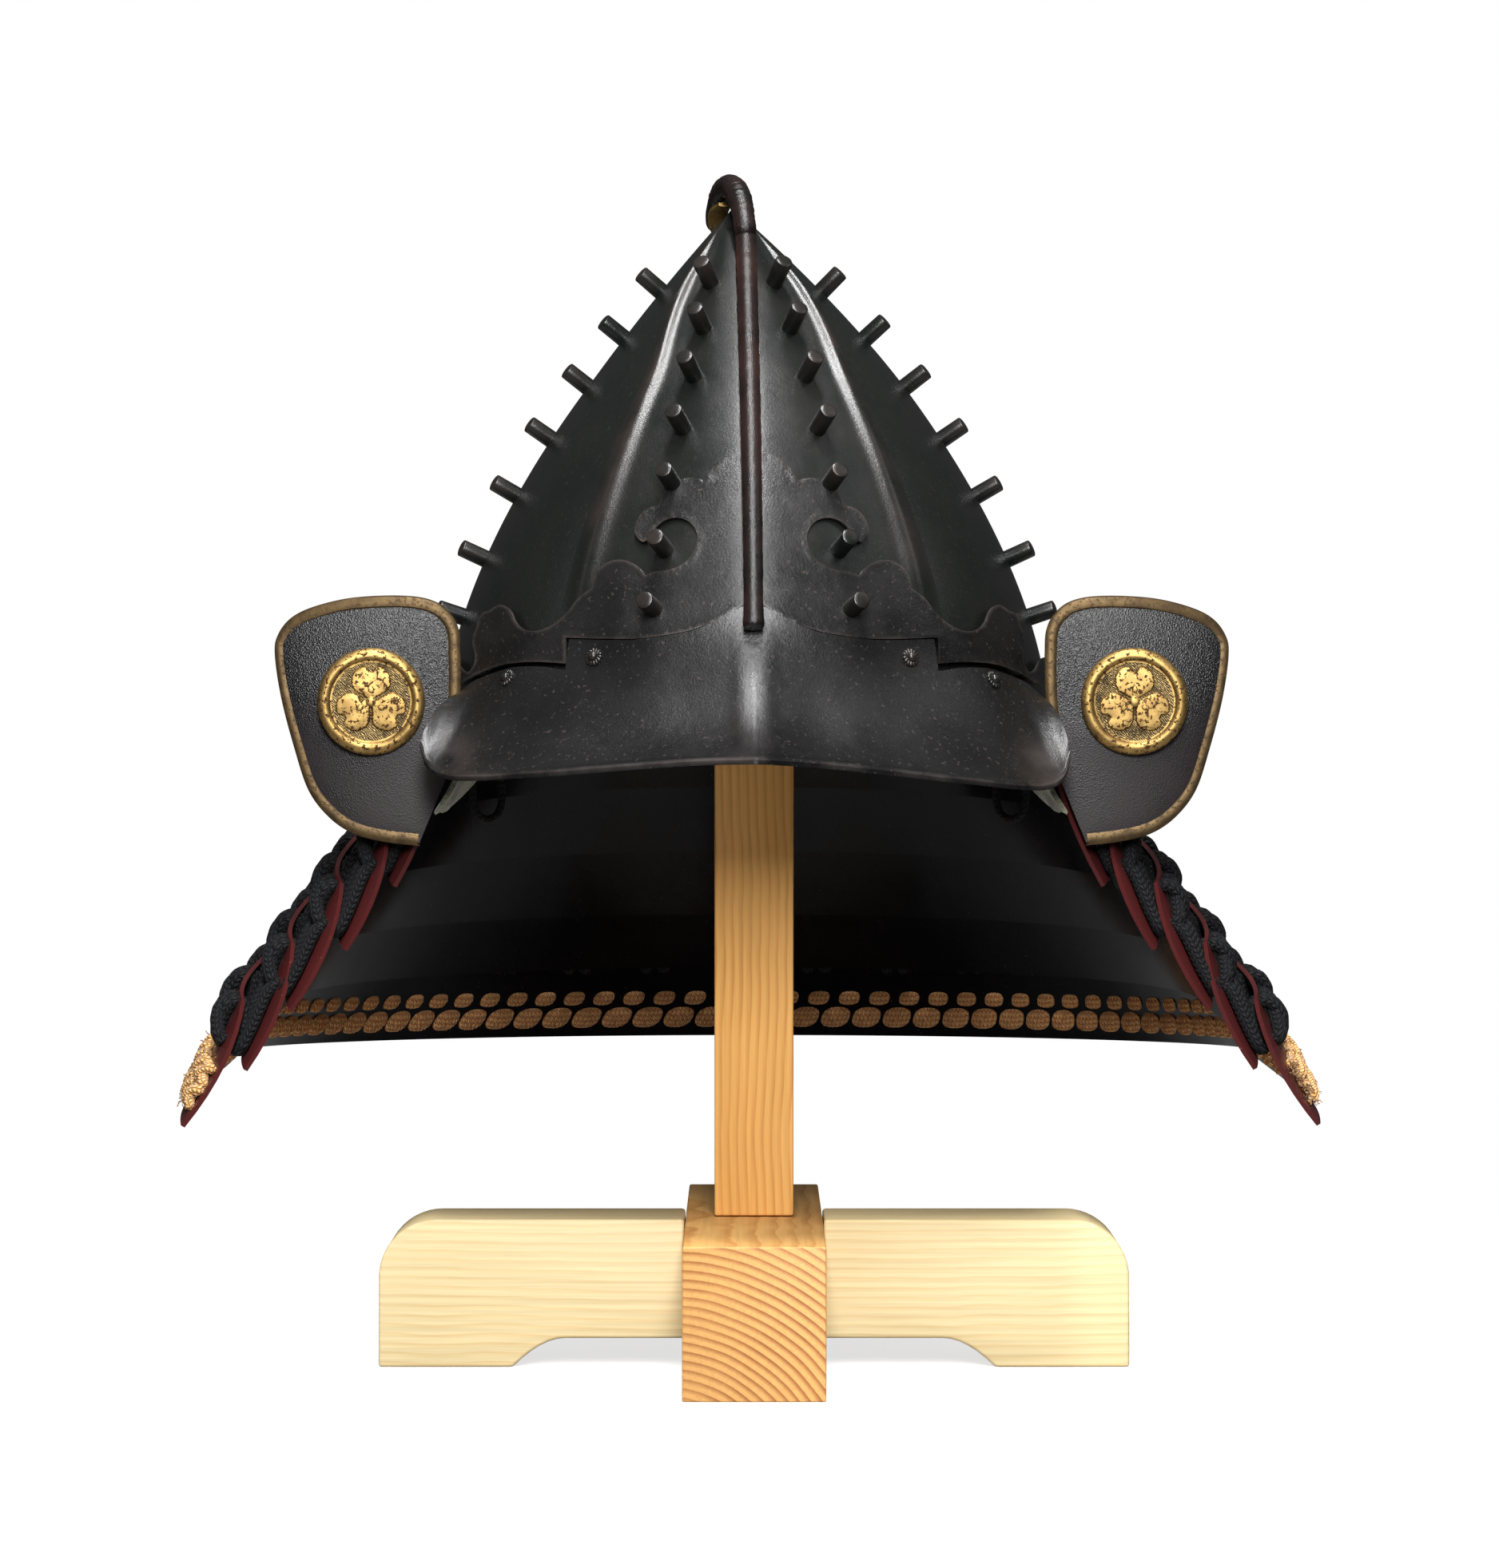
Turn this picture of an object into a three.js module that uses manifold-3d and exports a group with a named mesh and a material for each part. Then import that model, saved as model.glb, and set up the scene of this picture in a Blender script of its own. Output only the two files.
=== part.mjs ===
// A samurai helmet (kabuto) of pointed, riveted form, standing on a plain crossed wooden stand.
// Units are millimetres, +Z is up and the front of the helmet faces -Y.
import * as THREE from 'three';
import { mergeVertices } from 'three/addons/utils/BufferGeometryUtils.js';
import Module from 'manifold-3d';

const wasm = await Module();
wasm.setup();

// ---------------------------------------------------------------- driving dimensions
const GAP = 0.4;

const BOARD = {
  length: 284, width: 52, height: 56, cornerRadius: 22,
  footLength: 50.6, archHeight: 11, archRun: 20,
};
const POST = { width: 30, height: 306, capRadius: 42, capTopRadius: 36, capHeight: 22 };

// The helmet sits a little off the post, turned slightly to its left.
const HELMET = { x: -3, turnDegrees: 1.3 };

// The bowl: half-axes at the brim line, and how fast each profile closes towards the apex.
const BOWL = {
  brimZ: 256, lowZ: 250, apexZ: 440,
  halfWidth: 114.5, front: 118, rear: 128,
  frontPower: 1.8, rearPower: 2.2, straightShare: 0.2,
  ridge: 2.5, ridgeWidth: 9,
  leanStartZ: 372, lean: 5,
  thickness: 2.2, plateProud: 1.4,
  frontPlateAngle: 40, frontPlateAngleTop: 48,
  rows: 10,
};

// Lift of the front and rear plates across half their width: valley, rounded rib, edge.
const PLATE_SECTION = [
  { across: 0, lift: 0 },
  { across: 0.3, lift: -0.4 },
  { across: 0.6, lift: -1.2 },
  { across: 0.8, lift: -0.3 },
  { across: 0.9, lift: 2.2 },
  { across: 1, lift: 1.2 },
];
const RELIEF_FADE = { from: 272, to: 300 };

const RIVET = { radius: 3.5, proud: 12.3, sunk: 1.2, bevel: 0.5, sides: 8 };
// Each row's height, its angle from the front, and where its front rivets stand on the plates.
const RIVET_ROWS = [
  { z: 284, angle: 19, foot: 3.4 },
  { z: 306, angle: 18.5, foot: 1.7 },
  { z: 330, angle: 19, foot: 3.4 },
  { z: 351.5, angle: 19.5, foot: 1.7 },
  { z: 371.5, angle: 20, foot: 1.7 },
  { z: 390, angle: 20.5, foot: 1.7 },
  { z: 408, angle: 23, foot: 1.7 },
];
const SIDE_RIVET_ANGLE = 86;

// The round ridge rod, from the peak to the crest that curls over the apex.
const ROD = { sides: 8, lowZ: 279, highZ: 424, steps: 22, lowRadius: 3.5, highRadius: 4 };
const CREST = [
  { x: -0.9, y: -21.5, z: 431, radius: 4.2 },
  { x: -1.9, y: -16, z: 439, radius: 4.4 },
  { x: -3.8, y: -8.5, z: 445.6, radius: 4.6 },
  { x: -6.4, y: 0, z: 448.1, radius: 4.6 },
  { x: -9.2, y: 8, z: 446, radius: 4.4 },
  { x: -11, y: 14.5, z: 440.5, radius: 4 },
  { x: -11.6, y: 18.8, z: 433, radius: 3.6 },
];
const CREST_LINING = [
  { x: -8.2, y: 1.5, z: 442.2 },
  { x: -10.2, y: 6.6, z: 439.8 },
  { x: -11.2, y: 10.6, z: 436 },
  { x: -11.6, y: 13.2, z: 431.5 },
];
const LINING = { width: 6.4, thickness: 1.2 };

// The cloud-edged brow plate: its lift off the bowl grows over the plates' ribs.
const BROW = {
  thickness: 1, lift: 1.9, ribLift: 2.9, ribFrom: 20, ribTo: 30, angle: 76, lowZ: 256, highZ: 346,
};
// Half of its outline, seen from the front.
const BROW_OUTLINE = [
  { x: 0, z: 342 }, { x: 9.4, z: 339.2 }, { x: 15.7, z: 332 }, { x: 26.5, z: 330.9 },
  { x: 32.7, z: 323.2 }, { x: 40.1, z: 318.5 }, { x: 38.9, z: 311.7 }, { x: 33.9, z: 315.5 },
  { x: 26, z: 319 }, { x: 19.1, z: 312.4 }, { x: 24.7, z: 302.1 }, { x: 38.9, z: 299.2 },
  { x: 47.4, z: 305.2 }, { x: 55.3, z: 299.4 }, { x: 61.8, z: 289.1 }, { x: 73, z: 281.2 },
  { x: 81, z: 282.2 }, { x: 87.4, z: 289.5 }, { x: 94.7, z: 286.3 }, { x: 98, z: 278 },
  { x: 101.5, z: 268.8 }, { x: 99, z: 262 }, { x: 93.3, z: 263.2 }, { x: 84.5, z: 266.7 },
  { x: 67.6, z: 266 }, { x: 67.6, z: 275.4 }, { x: 37.5, z: 275.8 }, { x: 25.4, z: 278 },
  { x: 15.8, z: 281.6 }, { x: 4.1, z: 287.4 }, { x: 0, z: 287.6 },
];

// The peak: where each section leaves the bowl, and where its lower edge lies.
const VISOR = { thickness: 2, lift: 1.2, rows: 4 };
const VISOR_SECTIONS = [
  { s: 0, angle: 0, z: 284.6, x: 0, y: -157, low: 230, flare: 9 },
  { s: 0.14, angle: 10, z: 277.8, x: 22, y: -155, low: 229.5, flare: 6 },
  { s: 0.28, angle: 20, z: 274.2, x: 44, y: -149, low: 228.4, flare: 3 },
  { s: 0.46, angle: 34.3, z: 273.4, x: 69, y: -139, low: 226, flare: 2 },
  { s: 0.48, angle: 35.2, z: 264.2, x: 72, y: -137.5, low: 225.7, flare: 1 },
  { s: 0.72, angle: 48, z: 264, x: 100, y: -117, low: 223.6, flare: 0 },
  { s: 0.88, angle: 55.5, z: 260.5, x: 113, y: -102, low: 225.4, flare: -2 },
  { s: 1, angle: 60, z: 256, x: 118.5, y: -91, low: 232, flare: -4 },
];

// The turn-backs beside the peak, seen from the front.
const TURNBACK = {
  shift: 1.3, y: -60, bend: 7, bendFrom: 125, bendOver: 50, thickness: 2.4,
  rimWidth: 3.4, rimDepth: 4.4, centreX: 142, centreZ: 247, samples: 36, rimEnd: 0.865,
};
const TURNBACK_OUTLINE = [
  { x: 124, z: 198.2 }, { x: 138, z: 199.9 }, { x: 149, z: 202.9 }, { x: 158, z: 209 },
  { x: 165.6, z: 219 }, { x: 171, z: 235 }, { x: 176, z: 254 }, { x: 178.4, z: 270 },
  { x: 177.2, z: 277 }, { x: 172.6, z: 283 }, { x: 165, z: 287 }, { x: 152.3, z: 290.3 },
  { x: 138.7, z: 291.5 }, { x: 126, z: 291.2 }, { x: 118, z: 289.1 }, { x: 113, z: 285.2 },
  { x: 110, z: 280.2 }, { x: 108.9, z: 273 }, { x: 109, z: 251 }, { x: 112.5, z: 228 },
  { x: 117.5, z: 214 }, { x: 124, z: 198.2 },
];
const ROUNDEL = { radius: 20, fieldRadius: 15.6, thickness: 3.4, field: 1.8, leaf: 1, x: 142, z: 252 };

// The neck guard: lower and upper edge of each lame at its front tip, side and back.
const SIDE_Y = 20;
const LAME_THICKNESS = 1.6;
const LAMES = [
  { tipX: 131.4, tipY: -56, tipZ: 182.7, sideX: 126, sideZ: 205, backY: 148, backZ: 216.8,
    topTipX: 110, topTipY: -47, topTipZ: 248, topSideX: 118.5, topSideZ: 254,
    topBackY: 132.5, topBackZ: 257 },
  { tipX: 149.2, tipY: -70, tipZ: 159.5, sideX: 142, sideZ: 181, backY: 162, backZ: 190.3,
    topTipX: 134, topTipY: -50, topTipZ: 206, topSideX: 127.5, topSideZ: 229,
    topBackY: 149.5, topBackZ: 238 },
  { tipX: 169.1, tipY: -78, tipZ: 137.5, sideX: 159, sideZ: 158, backY: 176.5, backZ: 164,
    topTipX: 151, topTipY: -56, topTipZ: 184, topSideX: 143.5, topSideZ: 206,
    topBackY: 163, topBackZ: 212 },
  { tipX: 185.4, tipY: -85, tipZ: 116, sideX: 175, sideZ: 137, backY: 191, backZ: 141.7,
    topTipX: 169, topTipY: -62, topTipZ: 162, topSideX: 158.5, topSideZ: 185,
    topBackY: 176, topBackZ: 189 },
  { tipX: 207.8, tipY: -95, tipZ: 96, sideX: 193, sideZ: 118, backY: 211, backZ: 112.5,
    topTipX: 187, topTipY: -70, topTipZ: 141, topSideX: 174, topSideZ: 163,
    topBackY: 192.5, topBackZ: 160 },
];
const LAME_STATIONS = 28;
const TIP_SHARE = 0.34;
// Each lame swells outwards behind its tip, which then turns in again.
const TIP_SWELL = 5;

const LACE = {
  pads: 12, thickness: 2, low: 0.58, bandLow: 0.8, high: 0.9, clear: 0.7, reach: 0.95,
  shares: [[0.06, false], [0.3, true], [0.7, true], [0.94, false]],
};
const HEM = { thickness: 2.4, low: 0.1, high: 0.42, innerReach: 0.9, outerReach: 0.99 };

const CHIN_LOOP = {
  radius: 2.4, sides: 6, steps: 14, halfWidth: 5.5, halfHeight: 11,
  x: 98, y: -58, z: 220, turnDegrees: 62,
};
const TEMPLE_TAB = { width: 16, drop: 20, thickness: 2.2, x: 108, y: -80, z: 227, lean: 3, bow: 2 };

// ---------------------------------------------------------------- materials
const FINISHES = {
  iron: { color: 0x17191a, roughness: 0.5, metalness: 0.35 },
  russet: { color: 0x2a1413, roughness: 0.4, metalness: 0.35 },
  gilt: { color: 0xb48a3c, roughness: 0.4, metalness: 0.9 },
  brass: { color: 0x86693c, roughness: 0.45, metalness: 0.85 },
  leather: { color: 0x231c1e, roughness: 0.55, metalness: 0 },
  lacquer: { color: 0x0d0b10, roughness: 0.2, metalness: 0 },
  blackSilk: { color: 0x101114, roughness: 0.85, metalness: 0 },
  goldSilk: { color: 0xb6743a, roughness: 0.85, metalness: 0 },
  suede: { color: 0x6d735c, roughness: 0.95, metalness: 0 },
  pine: { color: 0xe6c48b, roughness: 0.5, metalness: 0 },
};
const finish = Object.fromEntries(
  Object.entries(FINISHES).map(([name, values]) => [name, new THREE.MeshStandardMaterial(values)]),
);

// ---------------------------------------------------------------- solids from points
const radians = THREE.MathUtils.degToRad;
const mix = THREE.MathUtils.lerp;
const vec = (x, y, z) => new THREE.Vector3(x, y, z);

// A closed body from points and triangles, its faces turned outwards.
function body(points, faces) {
  let volume = 0;
  const cross = new THREE.Vector3();
  for (const [a, b, c] of faces) {
    volume += points[a].dot(cross.crossVectors(points[b], points[c]));
  }
  const turned = volume < 0 ? faces.map(([a, b, c]) => [a, c, b]) : faces;
  const geometry = new THREE.BufferGeometry();
  geometry.setAttribute(
    'position',
    new THREE.Float32BufferAttribute(points.flatMap((p) => p.toArray()), 3),
  );
  geometry.setIndex(turned.flat());
  geometry.computeVertexNormals();
  return geometry;
}

// A thin curved sheet between two surfaces that share their (u, v) stations.
function sheet(outer, inner, us, vs) {
  const points = [];
  for (const surface of [outer, inner]) {
    for (const v of vs) {
      for (const u of us) {
        points.push(surface(u, v));
      }
    }
  }
  const columns = us.length;
  const side = columns * vs.length;
  const faces = [];
  const quad = (a, b, c, d) => faces.push([a, b, c], [a, c, d]);
  for (let j = 0; j + 1 < vs.length; j++) {
    for (let i = 0; i + 1 < columns; i++) {
      const a = j * columns + i;
      quad(a, a + 1, a + columns + 1, a + columns);
      quad(side + a + columns, side + a + columns + 1, side + a + 1, side + a);
    }
  }
  for (let i = 0; i + 1 < columns; i++) {
    const top = (vs.length - 1) * columns + i;
    quad(side + i, side + i + 1, i + 1, i);
    quad(top, top + 1, side + top + 1, side + top);
  }
  for (let j = 0; j + 1 < vs.length; j++) {
    const a = j * columns;
    const b = a + columns - 1;
    quad(a, a + columns, side + a + columns, side + a);
    quad(side + b, side + b + columns, b + columns, b);
  }
  return body(points, faces);
}

// A bar through a row of equal rings, capped at both ends or closed into a loop.
function bar(rings, loop = false) {
  const sides = rings[0].length;
  const points = rings.flat();
  const faces = [];
  const last = loop ? rings.length : rings.length - 1;
  for (let j = 0; j < last; j++) {
    const next = (j + 1) % rings.length;
    for (let i = 0; i < sides; i++) {
      const k = (i + 1) % sides;
      faces.push([j * sides + i, j * sides + k, next * sides + k]);
      faces.push([j * sides + i, next * sides + k, next * sides + i]);
    }
  }
  if (!loop) {
    const end = (rings.length - 1) * sides;
    for (let i = 1; i + 1 < sides; i++) {
      faces.push([0, i + 1, i]);
      faces.push([end, end + i, end + i + 1]);
    }
  }
  return body(points, faces);
}

// A round rod through stations with their own centre and radius, lying mostly in the YZ plane.
function rod(stations, sides, loop = false) {
  const count = stations.length;
  const rings = stations.map(({ centre, radius }, index) => {
    const before = stations[loop ? (index + count - 1) % count : Math.max(index - 1, 0)].centre;
    const after = stations[loop ? (index + 1) % count : Math.min(index + 1, count - 1)].centre;
    const along = after.clone().sub(before).normalize();
    const across = vec(1, 0, 0).addScaledVector(along, -along.x).normalize();
    const out = new THREE.Vector3().crossVectors(along, across);
    return Array.from({ length: sides }, (_, i) => {
      const angle = (2 * Math.PI * (i + 0.5)) / sides;
      return centre.clone()
        .addScaledVector(across, radius * Math.cos(angle))
        .addScaledVector(out, radius * Math.sin(angle));
    });
  });
  return bar(rings, loop);
}

function solid(geometry) {
  const bare = geometry.clone();
  bare.deleteAttribute('normal');
  bare.deleteAttribute('uv');
  const merged = mergeVertices(bare, 1e-4);
  return new wasm.Manifold(new wasm.Mesh({
    numProp: 3,
    vertProperties: merged.attributes.position.array,
    triVerts: new Uint32Array(merged.index.array),
  }));
}

function geometryOf(manifold) {
  const made = manifold.getMesh();
  const geometry = new THREE.BufferGeometry();
  geometry.setAttribute('position', new THREE.Float32BufferAttribute(made.vertProperties, 3));
  geometry.setIndex(Array.from(made.triVerts));
  geometry.computeVertexNormals();
  return geometry;
}

const union = (geometries) => geometryOf(
  geometries.map(solid).reduce((whole, piece) => whole.add(piece)),
);

function mesh(name, geometry, material) {
  const made = new THREE.Mesh(geometry, material);
  made.name = name;
  return made;
}

const range = (count) => Array.from({ length: count + 1 }, (_, i) => i / count);
const mirrored = (values) => [
  ...values.filter((v) => v > 0).map((v) => -v).reverse(), ...values,
];

// A value read from a table by straight lines between its rows.
function read(table, key, at, column) {
  const next = table.findIndex((row) => row[key] >= at);
  if (next <= 0) return table[next < 0 ? table.length - 1 : 0][column];
  const [low, high] = [table[next - 1], table[next]];
  return mix(low[column], high[column], (at - low[key]) / (high[key] - low[key]));
}

// ---------------------------------------------------------------- the stand
function boardOutline(rounded) {
  const { length, height, cornerRadius, footLength, archHeight, archRun } = BOARD;
  const end = length / 2;
  const arch = end - footLength;
  const shape = new THREE.Shape();
  shape.moveTo(-end, 0);
  shape.lineTo(-arch, 0);
  shape.quadraticCurveTo(-arch + archRun * 0.55, archHeight, -arch + archRun, archHeight);
  shape.lineTo(arch - archRun, archHeight);
  shape.quadraticCurveTo(arch - archRun * 0.55, archHeight, arch, 0);
  shape.lineTo(end, 0);
  if (rounded) {
    shape.lineTo(end, height - cornerRadius);
    shape.absarc(end - cornerRadius, height - cornerRadius, cornerRadius, 0, Math.PI / 2);
    shape.absarc(-end + cornerRadius, height - cornerRadius, cornerRadius, Math.PI / 2, Math.PI);
  } else {
    shape.lineTo(end, height);
    shape.lineTo(-end, height);
  }
  shape.closePath();
  return shape;
}

// A board lying along X, with half its height cut away where the other board crosses it.
function board(rounded, cutTop) {
  const plank = new THREE.ExtrudeGeometry(boardOutline(rounded), {
    depth: BOARD.width, bevelEnabled: false, curveSegments: 6,
  });
  plank.translate(0, 0, -BOARD.width / 2);
  plank.rotateX(Math.PI / 2);
  const notch = new THREE.BoxGeometry(BOARD.width + 2 * GAP, BOARD.width + 2, BOARD.height);
  notch.translate(0, 0, cutTop ? BOARD.height - GAP / 2 : GAP / 2);
  return geometryOf(solid(plank).subtract(solid(notch)));
}

function standPost() {
  const post = new THREE.BoxGeometry(POST.width, POST.width, POST.height);
  post.translate(0, 0, BOARD.height + GAP + POST.height / 2);
  const cap = new THREE.CylinderGeometry(POST.capTopRadius, POST.capRadius, POST.capHeight, 24);
  cap.rotateX(Math.PI / 2);
  cap.translate(0, 0, BOARD.height + GAP + POST.height + POST.capHeight / 2 - 1);
  return union([post, cap]);
}

function stand() {
  const group = new THREE.Group();
  const longBoard = mesh('stand_long_board', board(false, false), finish.pine);
  longBoard.rotation.z = Math.PI / 2;
  group.add(
    mesh('stand_cross_board', board(true, true), finish.pine),
    longBoard,
    mesh('stand_post', standPost(), finish.pine),
  );
  return group;
}

// ---------------------------------------------------------------- the bowl
// How much of a profile has closed at height z: 0 at the brim, 1 at the apex.
function closing(z, power, apexZ) {
  const t = THREE.MathUtils.clamp((z - BOWL.brimZ) / (apexZ - BOWL.brimZ), 0, 1);
  return BOWL.straightShare * t + (1 - BOWL.straightShare) * t ** power;
}

const leanAt = (z) => -BOWL.lean
  * (Math.max(0, z - BOWL.leanStartZ) / (BOWL.apexZ - BOWL.leanStartZ)) ** 1.5;

// The bowl's skin at an angle from the front (positive to +X), drawn in by `inset`.
function skin(angle, z, inset = 0) {
  const apexZ = BOWL.apexZ - 2 * inset;
  const turn = radians(angle);
  const open = 1 - closing(z, BOWL.frontPower, apexZ);
  const x = (BOWL.halfWidth - inset) * open * Math.sin(turn);
  if (Math.abs(angle) <= 90) {
    const ridge = BOWL.ridge * open * Math.exp(-((angle / BOWL.ridgeWidth) ** 2));
    return vec(x + leanAt(z), -((BOWL.front - inset) * open * Math.cos(turn) + ridge), z);
  }
  const rearOpen = 1 - closing(z, BOWL.rearPower, apexZ);
  return vec(x + leanAt(z), -(BOWL.rear - inset) * rearOpen * Math.cos(turn), z);
}

function skinNormal(angle, z) {
  const step = 0.5;
  const around = skin(angle + step, z).sub(skin(angle - step, z));
  const up = skin(angle, z + step).sub(skin(angle, z - step));
  return around.cross(up).normalize();
}

const onSkin = (angle, z, lift) => skin(angle, z).addScaledVector(skinNormal(angle, z), lift);

// Half-angle of the front and rear plates at height z.
const plateAngle = (z) => mix(
  BOWL.frontPlateAngle, BOWL.frontPlateAngleTop, THREE.MathUtils.smoothstep(z, 370, 412),
);

// Angle that the gap beside a plate takes up at height z.
const gapAngle = (z) => {
  const open = 1 - closing(z, BOWL.frontPower, BOWL.apexZ);
  return THREE.MathUtils.radToDeg(0.6 * GAP / Math.max(BOWL.halfWidth * open, 1.2));
};

const BOWL_TOP = { outer: 438.4, inner: 433.6 };
const bowlRows = range(BOWL.rows);

// One plate from angle `from(z)` to `to(z)`, its outer face lifted by `lift(share, z)`.
function bowlPlate(from, to, lift, columns) {
  const outer = (u, v) => {
    const z = mix(BOWL.lowZ, BOWL_TOP.outer, v);
    return onSkin(mix(from(z), to(z), u), z, v < 1 ? lift(u, z) : 0);
  };
  const inner = (u, v) => {
    const z = mix(BOWL.lowZ, BOWL_TOP.inner, v);
    const level = mix(BOWL.lowZ, BOWL_TOP.outer, v);
    return skin(mix(from(level), to(level), u), z, BOWL.thickness);
  };
  return sheet(outer, inner, columns, bowlRows);
}

const ribbedColumns = mirrored(PLATE_SECTION.map((row) => row.across)).map((s) => (s + 1) / 2);
const ribbedLift = (u, z) => {
  const fade = THREE.MathUtils.smoothstep(z, RELIEF_FADE.from, RELIEF_FADE.to);
  const closingIn = 1 - THREE.MathUtils.smoothstep(z, 400, 436);
  const relief = read(PLATE_SECTION, 'across', Math.abs(2 * u - 1), 'lift');
  return fade * closingIn * (relief + BOWL.plateProud);
};

// A cylindrical rivet standing square to the bowl, its foot just below the skin.
function rivetGeometry(angle, z, foot) {
  const { radius, proud, bevel, sides } = RIVET;
  const profile = [
    [0, foot], [radius, foot], [radius, proud - bevel], [radius - bevel, proud], [0, proud],
  ].map(([r, h]) => new THREE.Vector2(r, h));
  const made = new THREE.LatheGeometry(profile, sides);
  made.applyQuaternion(
    new THREE.Quaternion().setFromUnitVectors(vec(0, 1, 0), skinNormal(angle, z)),
  );
  const seat = skin(angle, z);
  return made.translate(seat.x, seat.y, seat.z);
}

function bowl() {
  const group = new THREE.Group();
  const edge = (z) => plateAngle(z) - gapAngle(z);
  const start = (z) => plateAngle(z) + gapAngle(z);
  group.add(
    mesh('bowl_front', bowlPlate((z) => -edge(z), edge, ribbedLift, ribbedColumns), finish.iron),
  );
  const rear = bowlPlate((z) => 180 - edge(z), (z) => 180 + edge(z), ribbedLift, ribbedColumns);
  const rearRivets = RIVET_ROWS.flatMap(({ z, angle }) => [180 - angle, 180 + angle]
    .map((turn) => rivetGeometry(turn, z, -RIVET.sunk)));
  group.add(mesh('bowl_rear', union([rear, ...rearRivets]), finish.iron));
  for (const [name, side] of [['left', -1], ['right', 1]]) {
    const plate = bowlPlate(
      (z) => side * start(z), (z) => side * (180 - start(z)), () => 0, range(8),
    );
    group.add(mesh(`bowl_${name}`, plate, finish.iron));
    RIVET_ROWS.forEach(({ z, angle, foot }, index) => {
      group.add(mesh(
        `rivet_front_${name}_${index + 1}`,
        rivetGeometry(side * angle, z, foot),
        finish.iron,
      ));
      group.add(mesh(
        `rivet_side_${name}_${index + 1}`,
        rivetGeometry(side * SIDE_RIVET_ANGLE, z, GAP + 0.4),
        finish.iron,
      ));
    });
  }
  return group;
}

// ---------------------------------------------------------------- ridge rod and crest
function ridge() {
  const group = new THREE.Group();
  const stations = range(ROD.steps).map((t) => {
    const z = mix(ROD.lowZ, ROD.highZ, t);
    const radius = mix(ROD.lowRadius, ROD.highRadius, t);
    const clear = mix(
      VISOR.lift + VISOR.thickness + 1, BOWL.plateProud, THREE.MathUtils.smoothstep(z, 342, 400),
    );
    const centre = onSkin(0, z, radius + clear + GAP);
    centre.x = -0.6 * t * t;
    return { centre, radius };
  });
  for (const { x, y, z, radius } of CREST) stations.push({ centre: vec(x, y, z), radius });
  group.add(mesh('ridge_rod', rod(stations, ROD.sides), finish.russet));

  const rings = CREST_LINING.map(({ x, y, z }, index) => {
    const before = CREST_LINING[Math.max(index - 1, 0)];
    const after = CREST_LINING[Math.min(index + 1, CREST_LINING.length - 1)];
    const along = vec(0, after.y - before.y, after.z - before.z).normalize();
    const inwards = vec(0, along.z, -along.y).multiplyScalar(LINING.thickness);
    const half = LINING.width / 2;
    const corner = (side, depth) => vec(x + side * half, y, z).addScaledVector(inwards, depth);
    return [corner(-1, 0), corner(1, 0), corner(1, 1), corner(-1, 1)];
  });
  group.add(mesh('crest_lining', bar(rings), finish.gilt));
  return group;
}

// ---------------------------------------------------------------- brow plate and peak
function browPlate() {
  const half = BROW_OUTLINE.map(({ x, z }) => [x, z]);
  const outline = new THREE.Shape();
  outline.moveTo(...half[0]);
  for (const point of half.slice(1)) outline.lineTo(...point);
  for (const [x, z] of half.slice(1, -1).reverse()) outline.lineTo(-x, z);
  outline.closePath();
  const cutter = new THREE.ExtrudeGeometry(outline, { depth: 140, bevelEnabled: false });
  cutter.rotateX(Math.PI / 2);
  const columns = mirrored([0, 0.13, 0.26, 0.39, 0.54, 0.7, 0.85, 1]);
  const face = (depth) => (u, v) => {
    const angle = BROW.angle * u;
    const overRib = THREE.MathUtils.smoothstep(Math.abs(angle), BROW.ribFrom, BROW.ribTo);
    const lift = mix(BROW.lift, BROW.ribLift, overRib) + depth;
    return onSkin(angle, mix(BROW.lowZ, BROW.highZ, v), lift);
  };
  const layer = sheet(face(BROW.thickness), face(0), columns, range(6));
  return geometryOf(solid(cutter).intersect(solid(layer)));
}

// A point of the peak: s runs from the middle (0) to the wing (±1), v from the bowl to the rim.
function visorPoint(s, v, depth) {
  const at = Math.abs(s);
  const side = Math.sign(s) || 1;
  const value = (column) => read(VISOR_SECTIONS, 's', at, column);
  const root = onSkin(value('angle'), value('z'), VISOR.lift + VISOR.thickness - depth);
  const rim = vec(value('x'), value('y'), value('low'));
  const out = vec(rim.x - root.x, rim.y - root.y, 0).normalize();
  const point = root.lerp(rim, v);
  const down = -value('flare') * 4 * v * (1 - v);
  point.addScaledVector(out, down * 0.8);
  point.z += down * 0.5 - depth * v;
  return vec(point.x * side, point.y, point.z);
}

function peak() {
  const group = new THREE.Group();
  const columns = mirrored(VISOR_SECTIONS.map((row) => row.s));
  const visor = sheet(
    (s, v) => visorPoint(s, v, 0),
    (s, v) => visorPoint(s, v, VISOR.thickness),
    columns,
    range(VISOR.rows),
  );
  group.add(mesh('brow_plate', browPlate(), finish.iron));
  group.add(mesh('visor', visor, finish.iron));
  return group;
}

// ---------------------------------------------------------------- turn-backs
const turnbackCurve = new THREE.SplineCurve(
  TURNBACK_OUTLINE.map(({ x, z }) => new THREE.Vector2(x, z)),
);

const turnbackY = (x) => TURNBACK.y
  + TURNBACK.bend * (Math.max(0, x - TURNBACK.bendFrom) / TURNBACK.bendOver) ** 2;

// The outline at t, drawn in by `inset` towards the middle of the plate.
function turnbackEdge(t, inset) {
  const at = turnbackCurve.getPoint(t);
  const along = turnbackCurve.getTangent(t);
  return new THREE.Vector2(at.x - along.y * inset, at.y + along.x * inset);
}

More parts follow.
